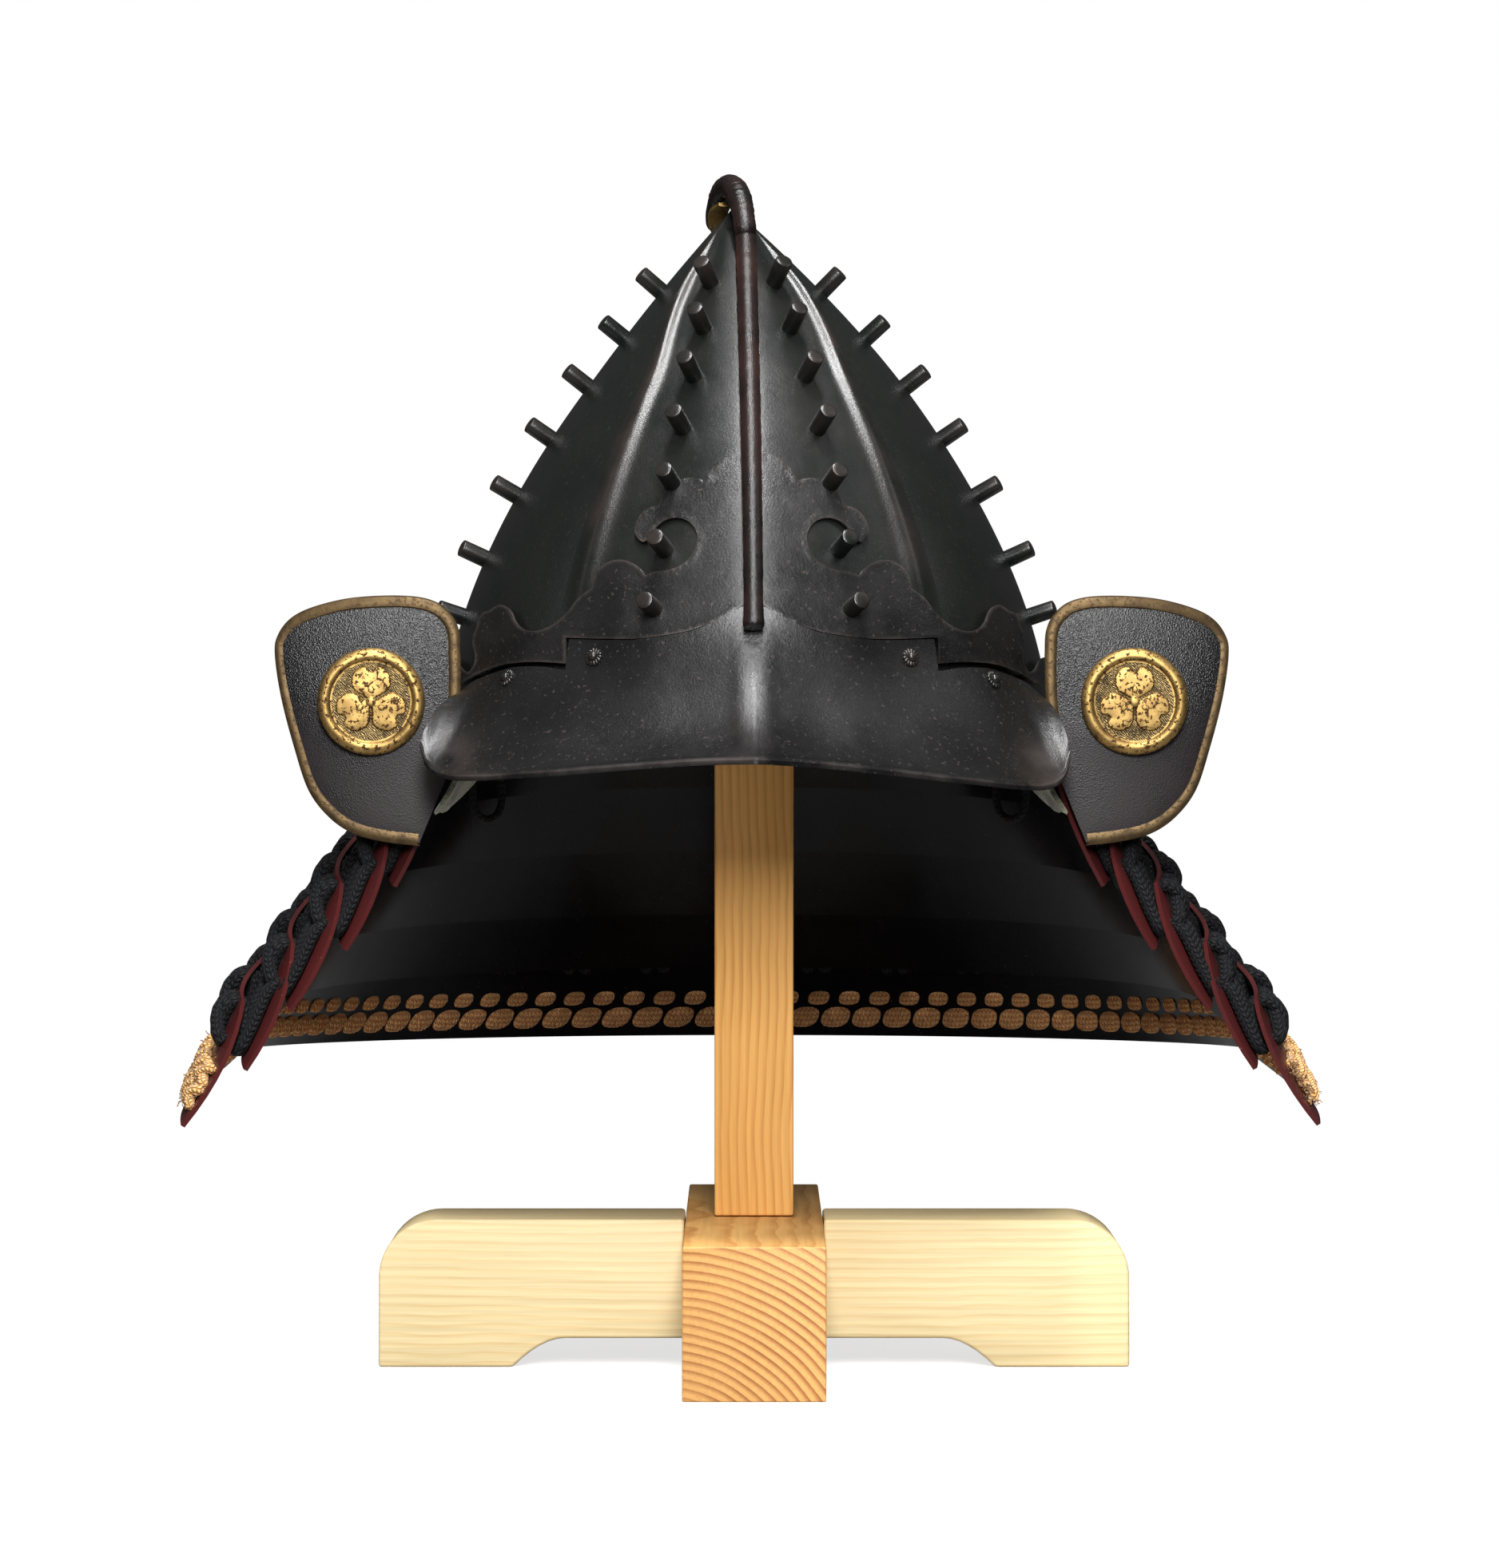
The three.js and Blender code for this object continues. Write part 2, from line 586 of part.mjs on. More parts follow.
function turnbackPlate() {
  const centre = new THREE.Vector2(TURNBACK.centreX, TURNBACK.centreZ);
  const count = TURNBACK.samples;
  const edge = Array.from({ length: count }, (_, i) => {
    const t = i / count;
    const rimmed = t < TURNBACK.rimEnd;
    return turnbackEdge(t, rimmed ? TURNBACK.rimWidth + GAP : 0.6);
  });
  const points = [];
  const faces = [];
  const scales = [1, 0.62, 0.3];
  for (const depth of [-0.5, 0.5]) {
    const first = points.length;
    for (const scale of scales) {
      for (const at of edge) {
        const p = centre.clone().lerp(at, scale);
        points.push(vec(p.x, turnbackY(p.x) + depth * TURNBACK.thickness, p.y));
      }
    }
    points.push(vec(centre.x, turnbackY(centre.x) + depth * TURNBACK.thickness, centre.y));
    const tip = points.length - 1;
    const flip = (a, b, c) => faces.push(depth < 0 ? [a, b, c] : [a, c, b]);
    for (let i = 0; i < count; i++) {
      const k = (i + 1) % count;
      for (let r = 0; r + 1 < scales.length; r++) {
        const outer = first + r * count;
        flip(outer + i, outer + k, outer + count + k);
        flip(outer + i, outer + count + k, outer + count + i);
      }
      const inner = first + (scales.length - 1) * count;
      flip(inner + i, inner + k, tip);
    }
  }
  const back = scales.length * count + 1;
  for (let i = 0; i < count; i++) {
    const k = (i + 1) % count;
    faces.push([i, back + i, back + k], [i, back + k, k]);
  }
  return body(points, faces);
}

function turnbackRim() {
  const rings = range(TURNBACK.samples).map((share) => {
    const t = 0.004 + share * (TURNBACK.rimEnd - 0.012);
    const outer = turnbackEdge(t, 0);
    const inner = turnbackEdge(t, TURNBACK.rimWidth);
    const half = TURNBACK.rimDepth / 2;
    return [
      vec(outer.x, turnbackY(outer.x) - half, outer.y),
      vec(outer.x, turnbackY(outer.x) + half, outer.y),
      vec(inner.x, turnbackY(inner.x) + half, inner.y),
      vec(inner.x, turnbackY(inner.x) - half, inner.y),
    ];
  });
  return bar(rings);
}

// A heart-shaped leaf pointing away from the middle of the roundel.
function leaf() {
  const shape = new THREE.Shape();
  shape.moveTo(0, 2.4);
  shape.bezierCurveTo(-3, 4, -7.2, 6.4, -6.4, 9.6);
  shape.bezierCurveTo(-5.6, 12.8, -1.6, 13.2, 0, 11.6);
  shape.bezierCurveTo(1.6, 13.2, 5.6, 12.8, 6.4, 9.6);
  shape.bezierCurveTo(7.2, 6.4, 3, 4, 0, 2.4);
  return shape;
}

// A domed disc with a sunk field and a raised three-leaf crest, facing -Y.
function roundel() {
  const { radius, fieldRadius, thickness, field } = ROUNDEL;
  const disc = new THREE.LatheGeometry([
    [0, 0], [radius, 0], [radius, thickness * 0.45], [radius - 1.2, thickness * 0.85],
    [radius - 2.6, thickness], [fieldRadius, thickness - 0.4], [fieldRadius, field], [0, field],
  ].map(([r, h]) => new THREE.Vector2(r, h)), 24);
  const leaves = [0, 1, 2].map((index) => {
    const made = new THREE.ExtrudeGeometry(leaf(), {
      depth: ROUNDEL.leaf + 0.8, bevelEnabled: false, curveSegments: 3,
    });
    made.rotateZ((index * 2 * Math.PI) / 3);
    made.rotateX(-Math.PI / 2);
    return made.translate(0, field - 0.8, 0);
  });
  const boss = new THREE.CylinderGeometry(2.2, 2.4, ROUNDEL.leaf + 1.2, 12);
  boss.translate(0, field + ROUNDEL.leaf / 2, 0);
  const made = union([disc, ...leaves, boss]);
  return made.rotateX(Math.PI);
}

function turnbacks() {
  const group = new THREE.Group();
  const plate = turnbackPlate();
  const rim = turnbackRim();
  const disc = roundel();
  disc.translate(ROUNDEL.x, TURNBACK.y - TURNBACK.thickness / 2 - GAP, ROUNDEL.z);
  for (const [name, side] of [['left', -1], ['right', 1]]) {
    const half = new THREE.Group();
    half.position.x = TURNBACK.shift;
    half.scale.x = side;
    half.add(
      mesh(`turnback_${name}`, plate, finish.leather),
      mesh(`turnback_rim_${name}`, rim, finish.brass),
      mesh(`roundel_${name}`, disc, finish.gilt),
    );
    group.add(half);
  }
  return group;
}

// ---------------------------------------------------------------- neck guard
// A lame's edge: u runs from the left tip (-1) round the back (0) to the right tip (1).
function lameEdge(tip, sideX, sideZ, backY, backZ, u) {
  const at = Math.abs(u);
  const side = Math.sign(u) || 1;
  const round = 1 - TIP_SHARE;
  if (at <= round) {
    const turn = (at / round) * (Math.PI / 2);
    return vec(
      side * sideX * Math.sin(turn),
      SIDE_Y + (backY - SIDE_Y) * Math.cos(turn),
      mix(backZ, sideZ, (at / round) ** 2),
    );
  }
  const t = (at - round) / TIP_SHARE;
  const swell = TIP_SWELL * 6.75 * t * t * (1 - t);
  const x = side * (mix(sideX, tip.x, t ** 1.3) + swell);
  return vec(x, mix(SIDE_Y, tip.y, t), mix(sideZ, tip.z, t ** 1.2));
}

// A point of lame k: v runs from its lower edge (0) to its upper edge (1), depth outwards.
function lamePoint(k, u, v, depth) {
  const row = LAMES[k];
  const low = lameEdge(
    vec(row.tipX, row.tipY, row.tipZ), row.sideX, row.sideZ, row.backY, row.backZ, u,
  );
  const high = lameEdge(
    vec(row.topTipX, row.topTipY, row.topTipZ),
    row.topSideX, row.topSideZ, row.topBackY, row.topBackZ, u,
  );
  const up = high.clone().sub(low);
  const step = 0.01 * (u > 0 ? -1 : 1);
  const beside = lameEdge(
    vec(row.tipX, row.tipY, row.tipZ), row.sideX, row.sideZ, row.backY, row.backZ, u + step,
  );
  const normal = beside.sub(low).cross(up).multiplyScalar(Math.sign(step)).normalize();
  return low.addScaledVector(up, v).addScaledVector(normal, -depth);
}

const lameStations = range(LAME_STATIONS).map((t) => 2 * t - 1);

// A comb-shaped silk band on a lame's outer face, with a pad for each group of laces.
function laceBand(k) {
  const rings = [];
  const inner = LAME_THICKNESS + LACE.clear;
  const outer = inner + LACE.thickness;
  for (let pad = 0; pad < LACE.pads; pad++) {
    for (const [share, tall] of LACE.shares) {
      const u = LACE.reach * (-1 + (2 * (pad + share)) / LACE.pads);
      const low = tall ? LACE.low : LACE.bandLow;
      rings.push([
        lamePoint(k, u, low, inner), lamePoint(k, u, LACE.high, inner),
        lamePoint(k, u, LACE.high, outer), lamePoint(k, u, low, outer),
      ]);
    }
  }
  return bar(rings);
}

function hemBand(depth, reach) {
  const { thickness, low, high } = HEM;
  const rings = lameStations.filter((u) => Math.abs(u) < reach).map((u) => [
    lamePoint(4, u, low, depth), lamePoint(4, u, high, depth),
    lamePoint(4, u, high, depth + thickness), lamePoint(4, u, low, depth + thickness),
  ]);
  return bar(rings);
}

function neckGuard() {
  const group = new THREE.Group();
  LAMES.forEach((_, k) => {
    const lame = sheet(
      (u, v) => lamePoint(k, u, v, 0),
      (u, v) => lamePoint(k, u, v, LAME_THICKNESS),
      lameStations,
      [0, 1],
    );
    group.add(mesh(`lame_${k + 1}`, lame, finish.lacquer));
    if (k > 0) group.add(mesh(`lacing_${k}`, laceBand(k), finish.blackSilk));
  });
  const insideHem = hemBand(-HEM.thickness - GAP, HEM.innerReach);
  const outsideHem = hemBand(LAME_THICKNESS + GAP, HEM.outerReach);
  group.add(
    mesh('hem_lacing_inner', insideHem, finish.goldSilk),
    mesh('hem_lacing_outer', outsideHem, finish.goldSilk),
  );
  return group;
}

// ---------------------------------------------------------------- loops and tabs
function chinLoop(side) {
  const centre = vec(side * CHIN_LOOP.x, CHIN_LOOP.y, CHIN_LOOP.z);
  const stations = Array.from({ length: CHIN_LOOP.steps }, (_, i) => {
    const turn = (2 * Math.PI * i) / CHIN_LOOP.steps;
    const offset = vec(0, CHIN_LOOP.halfWidth * Math.sin(turn), CHIN_LOOP.halfHeight * Math.cos(turn));
    return { centre: centre.clone().add(offset), radius: CHIN_LOOP.radius };
  });
  const made = rod(stations, CHIN_LOOP.sides, true);
  made.translate(-centre.x, -centre.y, -centre.z);
  made.rotateZ(side * radians(CHIN_LOOP.turnDegrees));
  return made.translate(centre.x, centre.y, centre.z);
}

function templeTab(side) {
  const { width, drop, thickness, x, y, z, lean, bow } = TEMPLE_TAB;
  const face = (depth) => (u, v) => vec(
    side * (x - lean * v - bow * u * u - depth),
    y + (width / 2) * u,
    z - drop * v * (1 - 0.3 * u),
  );
  return sheet(face(0), face(thickness), [-1, -0.5, 0, 0.5, 1], range(3));
}

function fittings() {
  const group = new THREE.Group();
  for (const [name, side] of [['left', -1], ['right', 1]]) {
    group.add(mesh(`chin_loop_${name}`, chinLoop(side), finish.blackSilk));
    group.add(mesh(`temple_tab_${name}`, templeTab(side), finish.suede));
  }
  return group;
}

// ---------------------------------------------------------------- the whole
const helmet = new THREE.Group();
helmet.position.x = HELMET.x;
helmet.rotation.z = radians(HELMET.turnDegrees);
helmet.add(bowl(), ridge(), peak(), turnbacks(), neckGuard(), fittings());

// The frame's origin is the middle of the whole object's box, on the surface it stands on.
const assembly = new THREE.Group();
assembly.add(stand(), helmet);
assembly.updateMatrixWorld(true);
const box = new THREE.Box3().setFromObject(assembly, true);
const middle = box.getCenter(new THREE.Vector3());
assembly.position.set(-middle.x, -middle.y, -box.min.z);

const group = new THREE.Group();
group.add(assembly);
export default group;
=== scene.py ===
import math
import bmesh
import bpy
import numpy as np
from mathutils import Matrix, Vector
from mathutils.geometry import delaunay_2d_cdt


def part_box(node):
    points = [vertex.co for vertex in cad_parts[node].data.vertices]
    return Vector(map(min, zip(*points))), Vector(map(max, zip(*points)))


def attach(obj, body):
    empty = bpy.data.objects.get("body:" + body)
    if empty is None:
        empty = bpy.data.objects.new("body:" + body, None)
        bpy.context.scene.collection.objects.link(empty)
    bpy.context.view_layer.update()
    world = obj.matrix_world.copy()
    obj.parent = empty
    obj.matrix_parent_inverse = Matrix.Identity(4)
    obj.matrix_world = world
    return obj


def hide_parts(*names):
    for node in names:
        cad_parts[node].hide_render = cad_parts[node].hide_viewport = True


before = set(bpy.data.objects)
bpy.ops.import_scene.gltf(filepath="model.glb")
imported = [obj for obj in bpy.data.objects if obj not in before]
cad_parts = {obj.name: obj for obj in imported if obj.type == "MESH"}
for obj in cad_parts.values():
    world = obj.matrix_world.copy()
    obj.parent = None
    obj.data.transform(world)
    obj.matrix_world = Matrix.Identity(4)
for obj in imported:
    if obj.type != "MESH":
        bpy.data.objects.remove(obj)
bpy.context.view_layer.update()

# ---------------------------------------------------------------- camera
# A long lens looks level at the brow from well back,
# so that the boards of the stand below show their tops.
post_low, post_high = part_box("stand_post")
post_x = (post_low[0] + post_high[0]) / 2
post_y = (post_low[1] + post_high[1]) / 2

CAMERA_ASIDE, CAMERA_BACK, CAMERA_HEIGHT = -0.0017, 2.392, 0.2583
CAMERA_DROP = 0.9096
LENS, SENSOR, FARTHEST_SEEN = 143.8, 36, 30
camera = bpy.data.objects.new("camera", bpy.data.cameras.new("camera"))
camera.location = (post_x + CAMERA_ASIDE, post_y - CAMERA_BACK, CAMERA_HEIGHT)
camera.rotation_euler = (math.radians(90 - CAMERA_DROP), 0, 0)
camera.data.lens = LENS
camera.data.sensor_width = SENSOR
camera.data.clip_end = FARTHEST_SEEN
bpy.context.collection.objects.link(camera)
bpy.context.scene.camera = camera

# ---------------------------------------------------------------- chin cord loops
# A short loop of round-braided black silk hangs inside each temple, both its ends sewn to a
# tape above; the chin cord, which is not fitted, would pass through the two loops.
SIDES = (("left", -1), ("right", 1))
HELMET_X, HELMET_TURN = -3.0, math.radians(1.3)
CORD_SIDES, CORD_STEP = 12, 1.2
STRAND_REPEAT, STRANDS_AROUND, STRAND_SLANT = 2.3, 5.0, 1.3
SILK_RELIEF, SILK_GLOSS = 0.0006, 0.22
SWELL_SHARE, SWELL_PITCH, CORD_END_SHARE = 0.03, 5.1, 0.55
LOOP_RADIUS, LOOP_TURN, LOOP_STEP = 1.45, math.radians(62), 0.7
SHARP_ANGLE = math.radians(38)
LOOP_CENTRE = (98.0, -58.0, 220.0)
LOOP_LINE = [  # across, up
    (-3.2, 10.4), (-4.8, 7.0), (-5.6, 3.0), (-5.7, -1.2), (-5.5, -5.6), (-3.8, -9.9),
    (0.3, -11.9), (4.5, -10.1), (6.3, -6.0), (6.4, -1.6), (6.0, 2.8), (5.0, 6.9), (3.3, 10.4),
]


def feed(tree, made, inputs):
    """Links sockets to a node's inputs, or sets the inputs to plain values."""
    for name, value in inputs.items():
        if isinstance(value, bpy.types.NodeSocket):
            tree.links.new(value, made.inputs[name])
        else:
            made.inputs[name].default_value = value


def node(tree, kind, inputs=None, **settings):
    """A new node of that kind, its inputs linked to sockets or set to values."""
    made = tree.nodes.new(kind)
    for name, value in settings.items():
        setattr(made, name, value)
    feed(tree, made, inputs or {})
    return made


def new_group(name, kind, inputs, outputs):
    """A node group with named sockets, its entry's sockets and its exit node."""
    tree = bpy.data.node_groups.new(name, kind)
    for way, sockets in (("INPUT", inputs), ("OUTPUT", outputs)):
        for label, sort in sockets.items():
            tree.interface.new_socket(label, in_out=way, socket_type="NodeSocket" + sort)
    return tree, tree.nodes.new("NodeGroupInput").outputs, tree.nodes.new("NodeGroupOutput")


def own_place(tree):
    """Object coordinates, in metres from the row frame's origin."""
    return node(tree, "ShaderNodeTexCoord").outputs["Object"]


def reckoned(tree, operation, *terms, clamped=False):
    """The result of one Math node on sockets and numbers."""
    return node(tree, "ShaderNodeMath", dict(enumerate(terms)), operation=operation,
                use_clamp=clamped).outputs[0]


def noise(tree, place, scale, detail=2.0, roughness=0.5):
    """Grey noise; `scale` is about its patches per metre."""
    return node(tree, "ShaderNodeTexNoise", {"Vector": place, "Scale": scale, "Detail": detail,
                                             "Roughness": roughness}).outputs["Fac"]


def ranged(tree, value, low=0.0, high=1.0, to_low=0.0, to_high=1.0, smooth=False):
    """A value brought from one range to another and held inside it."""
    return node(tree, "ShaderNodeMapRange", {
        "Value": value, "From Min": low, "From Max": high, "To Min": to_low, "To Max": to_high,
    }, interpolation_type="SMOOTHSTEP" if smooth else "LINEAR").outputs["Result"]


def mixed(tree, share, first, second):
    """The first colour where the share is 0 and the second where it is 1."""
    return node(tree, "ShaderNodeMix", {"Factor": share, 6: first, 7: second},
                data_type="RGBA").outputs[2]


def bumped(tree, height, strength, distance):
    """A normal from a height; `distance` is the relief's depth in metres."""
    return node(tree, "ShaderNodeBump", {"Height": height, "Strength": strength,
                                         "Distance": distance}).outputs["Normal"]


def new_material(name):
    material = bpy.data.materials.new(name)
    material.use_nodes = True
    return material, material.node_tree, material.node_tree.nodes["Principled BSDF"]


def linked(name, mesh):
    """An object at the origin that shows a mesh."""
    made = bpy.data.objects.new(name, mesh)
    bpy.context.collection.objects.link(made)
    return made


def add_mesh(name, vertices, faces, materials):
    """A smooth mesh object of its own with its materials in order."""
    mesh = bpy.data.meshes.new(name)
    mesh.from_pydata([tuple(map(float, v)) for v in vertices], [], faces)
    for material in materials:
        mesh.materials.append(material)
    mesh.shade_smooth()
    mesh.update()
    return linked(name, mesh)


def turned_directions(vectors):
    """Helmet directions turned into the row frame."""
    vectors = np.asarray(vectors, float)
    c, s = math.cos(HELMET_TURN), math.sin(HELMET_TURN)
    return np.stack([c * vectors[..., 0] - s * vectors[..., 1],
                     s * vectors[..., 0] + c * vectors[..., 1], vectors[..., 2]], axis=-1)


def placed(points):
    """Helmet millimetres to row metres: turned on the post and moved to its place."""
    turned = turned_directions(points)
    return np.stack([(turned[..., 0] + HELMET_X) / 1000 + post_x,
                     turned[..., 1] / 1000 + post_y, turned[..., 2] / 1000], axis=-1)


def spline(a, b, c, d, t):
    """The smooth curve between b and c at share t, with a before them and d after."""
    return 0.5 * (2 * b + (c - a) * t + (2 * a - 5 * b + 4 * c - d) * t * t
                  + (3 * b - 3 * c + d - a) * t ** 3)


def run_along(line):
    """The length of a line up to each of its points."""
    return np.concatenate([[0], np.cumsum(np.linalg.norm(np.diff(line, axis=0), axis=1))])


def curve_through(points, step):
    """Points `step` apart along a smooth curve through the given ones."""
    points = np.asarray(points, float)
    padded = np.vstack([2 * points[0] - points[1], points, 2 * points[-1] - points[-2]])
    fine = []
    for a, b, c, d in zip(padded, padded[1:], padded[2:], padded[3:]):
        span = np.linalg.norm((c - b)[:3])
        for t in np.linspace(0, 1, max(2, int(8 * span / step)), endpoint=False):
            fine.append(spline(a, b, c, d, t))
    fine.append(points[-1])
    fine = np.array(fine)
    run = run_along(fine[:, :3])
    stops = np.linspace(0, run[-1], max(2, int(round(run[-1] / step)) + 1))
    return np.stack([np.interp(stops, run, fine[:, i]) for i in range(fine.shape[1])], axis=-1)


def tube_rings(centres, radii, sides, first=(1.0, 0.0, 0.0)):
    """Rings round a path, turned as little as possible from the `first` direction."""
    centres = np.asarray(centres, float)
    along = np.gradient(centres, axis=0)
    along /= np.linalg.norm(along, axis=1, keepdims=True)
    radii = np.broadcast_to(radii, len(centres))
    across = np.array(first, float)
    turn = 2 * np.pi * np.arange(sides) / sides
    rings = []
    for centre, way, radius in zip(centres, along, radii):
        across = across - way * np.dot(across, way)
        across /= np.linalg.norm(across)
        out = np.cross(way, across)
        rings.append(centre + radius * (np.outer(np.cos(turn), across)
                                        + np.outer(np.sin(turn), out)))
    return np.array(rings)


def tube_faces(rings, sides, start):
    """Faces of a tube and its caps, with (around, along) uv corners."""
    faces = []
    corners = []
    for j in range(rings - 1):
        low, high = start + j * sides, start + (j + 1) * sides
        for i in range(sides):
            m = (i + 1) % sides
            faces.append((low + i, low + m, high + m, high + i))
            corners.append(((i / sides, j), ((i + 1) / sides, j),
                            ((i + 1) / sides, j + 1), (i / sides, j + 1)))
    end = start + (rings - 1) * sides
    faces += [tuple(start + i for i in reversed(range(sides))), tuple(range(end, end + sides))]
    corners += [((0.5, 0),) * sides, ((0.5, rings - 1),) * sides]
    return faces, corners


def face_up(made):
    """Turns a closed mesh's faces outwards and keeps its sharp edges sharp."""
    graph = bmesh.new()
    graph.from_mesh(made.data)
    if graph.calc_volume(signed=True) < 0:
        bmesh.ops.reverse_faces(graph, faces=graph.faces)
    graph.to_mesh(made.data)
    graph.free()
    made.data.set_sharp_from_angle(angle=SHARP_ANGLE)


def tube_mesh(name, tubes, material, step):
    """One object of several tubes, each an array of rings in helmet millimetres."""
    points = []
    faces = []
    corners = []
    start = 0
    for rings in tubes:
        count, sides = rings.shape[:2]
        made_faces, made_corners = tube_faces(count, sides, start)
        points.append(placed(rings).reshape(-1, 3))
        faces.extend(made_faces)
        corners.extend(made_corners)
        start += count * sides
    made = add_mesh(name, np.concatenate(points), faces, [material])
    weave_uv = made.data.uv_layers.new(name="weave")
    flat = np.array([c for face in corners for c in face], float)
    flat[:, 1] *= step / 1000
    weave_uv.data.foreach_set("uv", flat.ravel())
    face_up(made)
    return made


def braid_group():
    """Columns of slanting strands that meet in chevrons, from uv in turns and metres."""
    tree, entry, leave = new_group(
        "braid", "ShaderNodeTree",
        {"Vector": "Vector", "Strands": "Float", "Repeats per metre": "Float"},
        {"Height": "Float", "Fibre": "Float"})
    parts = node(tree, "ShaderNodeSeparateXYZ", {"Vector": entry["Vector"]}).outputs
    around = reckoned(tree, "MULTIPLY", parts["X"], entry["Strands"])
    along = reckoned(tree, "MULTIPLY", parts["Y"], entry["Repeats per metre"])
    centred = reckoned(tree, "SUBTRACT", reckoned(tree, "FRACT", around), 0.5)
    beside = reckoned(tree, "ABSOLUTE", centred)
    slanted = reckoned(tree, "MULTIPLY_ADD", beside, STRAND_SLANT, along)
    strand = reckoned(tree, "MULTIPLY", reckoned(tree, "FRACT", slanted), math.pi)
    round_top = reckoned(tree, "SINE", strand)
    seam = ranged(tree, beside, 0, 0.09, smooth=True)
    border = ranged(tree, beside, 0.5, 0.38, smooth=True)
    framed = reckoned(tree, "MULTIPLY", seam, border)
    feed(tree, leave, {"Height": reckoned(tree, "MULTIPLY", round_top, framed),
                       "Fibre": noise(tree, own_place(tree), 1700.0)})
    return tree


braid = braid_group()


def silk(name, dark, light, strands, repeat, roughness, sheen):
    """Braided silk: `repeat` is a chevron's length in millimetres."""
    material, tree, shader = new_material(name)
    laid = node(tree, "ShaderNodeUVMap", uv_map="weave")
    weave = node(tree, "ShaderNodeGroup", node_tree=braid)
    feed(tree, weave, {"Vector": laid.outputs["UV"], "Strands": strands,
                       "Repeats per metre": 1000 / repeat})
    height, fibre = weave.outputs["Height"], weave.outputs["Fibre"]
    # The colour runs from `dark` between the strands to `light` on their crowns: painted shade in
    # the grooves and a painted sheen on the crowns, broken up by the fibre noise.
    share = reckoned(tree, "MULTIPLY", reckoned(tree, "MULTIPLY", height, fibre), 1.7,
                     clamped=True)
    relief = reckoned(tree, "ADD", height, reckoned(tree, "MULTIPLY", fibre, 0.3))
    feed(tree, shader, {
        "Base Color": mixed(tree, share, dark, light),
        "Normal": bumped(tree, relief, 1.0, SILK_RELIEF),
        "Roughness": roughness, "Sheen Weight": sheen, "Sheen Roughness": 0.5,
        "Specular IOR Level": SILK_GLOSS,
    })
    return material


def braided(path, radius, sides=CORD_SIDES, step=CORD_STEP, end_share=CORD_END_SHARE):
    """Rings of a cord through rough points: its strands show as small swellings."""
    line = curve_through(path, step)
    run = np.arange(len(line)) * step
    swell = radius * (1 + SWELL_SHARE * np.sin(2 * np.pi * run / SWELL_PITCH))
    swell[[0, -1]] *= end_share
    return tube_rings(line, swell, sides)


black_silk = silk("black braided silk", (0.0008, 0.0008, 0.0012, 1), (0.0085, 0.009, 0.011, 1),
                  STRANDS_AROUND, STRAND_REPEAT, 0.75, 0.0)
for side_name, side in SIDES:
    loop_path = [(side * (LOOP_CENTRE[0] - across * math.sin(LOOP_TURN)),
                  LOOP_CENTRE[1] + across * math.cos(LOOP_TURN), LOOP_CENTRE[2] + up)
                 for across, up in LOOP_LINE]
    loop_centres = placed(curve_through(loop_path, LOOP_STEP))
    chin_loop = tube_mesh(f"chin_cord_loop_{side_name}", [
        braided(loop_path, LOOP_RADIUS, CORD_SIDES, LOOP_STEP, end_share=1.0),
    ], black_silk, LOOP_STEP)
    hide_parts(f"chin_loop_{side_name}")
    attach(chin_loop, "root")

# ---------------------------------------------------------------- floor and light
# A small pale floor fades out into a white room, which is dark to reflections so that the
# black lacquer stays black; soft boxes hang in front, overhead and at both sides.
FLOOR_HALF = 0.8
FLOOR_FADE_FROM, FLOOR_FADE_TO = 0.42, 0.78
FLOOR_SEEN, FLOOR_UNSEEN, FLOOR_GLOW = (0.62, 0.62, 0.62, 1), (0.36, 0.36, 0.36, 1), 0.72
ROOM_LOW, ROOM_HIGH, ROOM_SEEN = 0.05, 0.17, 1.0
floor_material, floor_tree, floor_shader = new_material("pale floor")
seen = node(floor_tree, "ShaderNodeLightPath").outputs["Is Camera Ray"]
floor_reach = node(floor_tree, "ShaderNodeVectorMath", {0: own_place(floor_tree)},
                   operation="LENGTH").outputs["Value"]
feed(floor_tree, floor_shader, {
    "Base Color": mixed(floor_tree, seen, FLOOR_UNSEEN, FLOOR_SEEN),
    "Emission Color": (1, 1, 1, 1),
    "Emission Strength": reckoned(floor_tree, "MULTIPLY", seen, FLOOR_GLOW),
    "Alpha": ranged(floor_tree, floor_reach, FLOOR_FADE_FROM, FLOOR_FADE_TO, 1.0, 0.0, True),
    "Roughness": 0.9, "Specular IOR Level": 0.1,
})
floor_corners = [(x * FLOOR_HALF, y * FLOOR_HALF, 0)
                 for x, y in ((-1, -1), (1, -1), (1, 1), (-1, 1))]
floor = add_mesh("floor", floor_corners, [(0, 1, 2, 3)], [floor_material])

bpy.context.scene.view_settings.view_transform = "Standard"

world = bpy.data.worlds.new("studio")
bpy.context.scene.world = world
world.use_nodes = True
room = world.node_tree
look = node(room, "ShaderNodeLightPath").outputs["Is Camera Ray"]
ray = node(room, "ShaderNodeTexCoord").outputs["Generated"]
ray_height = node(room, "ShaderNodeSeparateXYZ", {"Vector": ray}).outputs["Z"]
overhead = ranged(room, ray_height, 0.1, 1.0, ROOM_LOW, ROOM_HIGH, True)
room_strength = node(room, "ShaderNodeMix", {"Factor": look, 2: overhead, 3: ROOM_SEEN},
                     data_type="FLOAT").outputs[0]
feed(room, room.nodes["Background"], {"Color": (1, 1, 1, 1), "Strength": room_strength})


def softbox(name, place, aim, size, watts):
    light = bpy.data.lights.new(name, "AREA")
    light.shape = "RECTANGLE"
    light.size, light.size_y = size
    light.energy = watts
    made = linked(name, light)
    made.location = place
    made.rotation_euler = (Vector(aim) - Vector(place)).to_track_quat("-Z", "Y").to_euler()


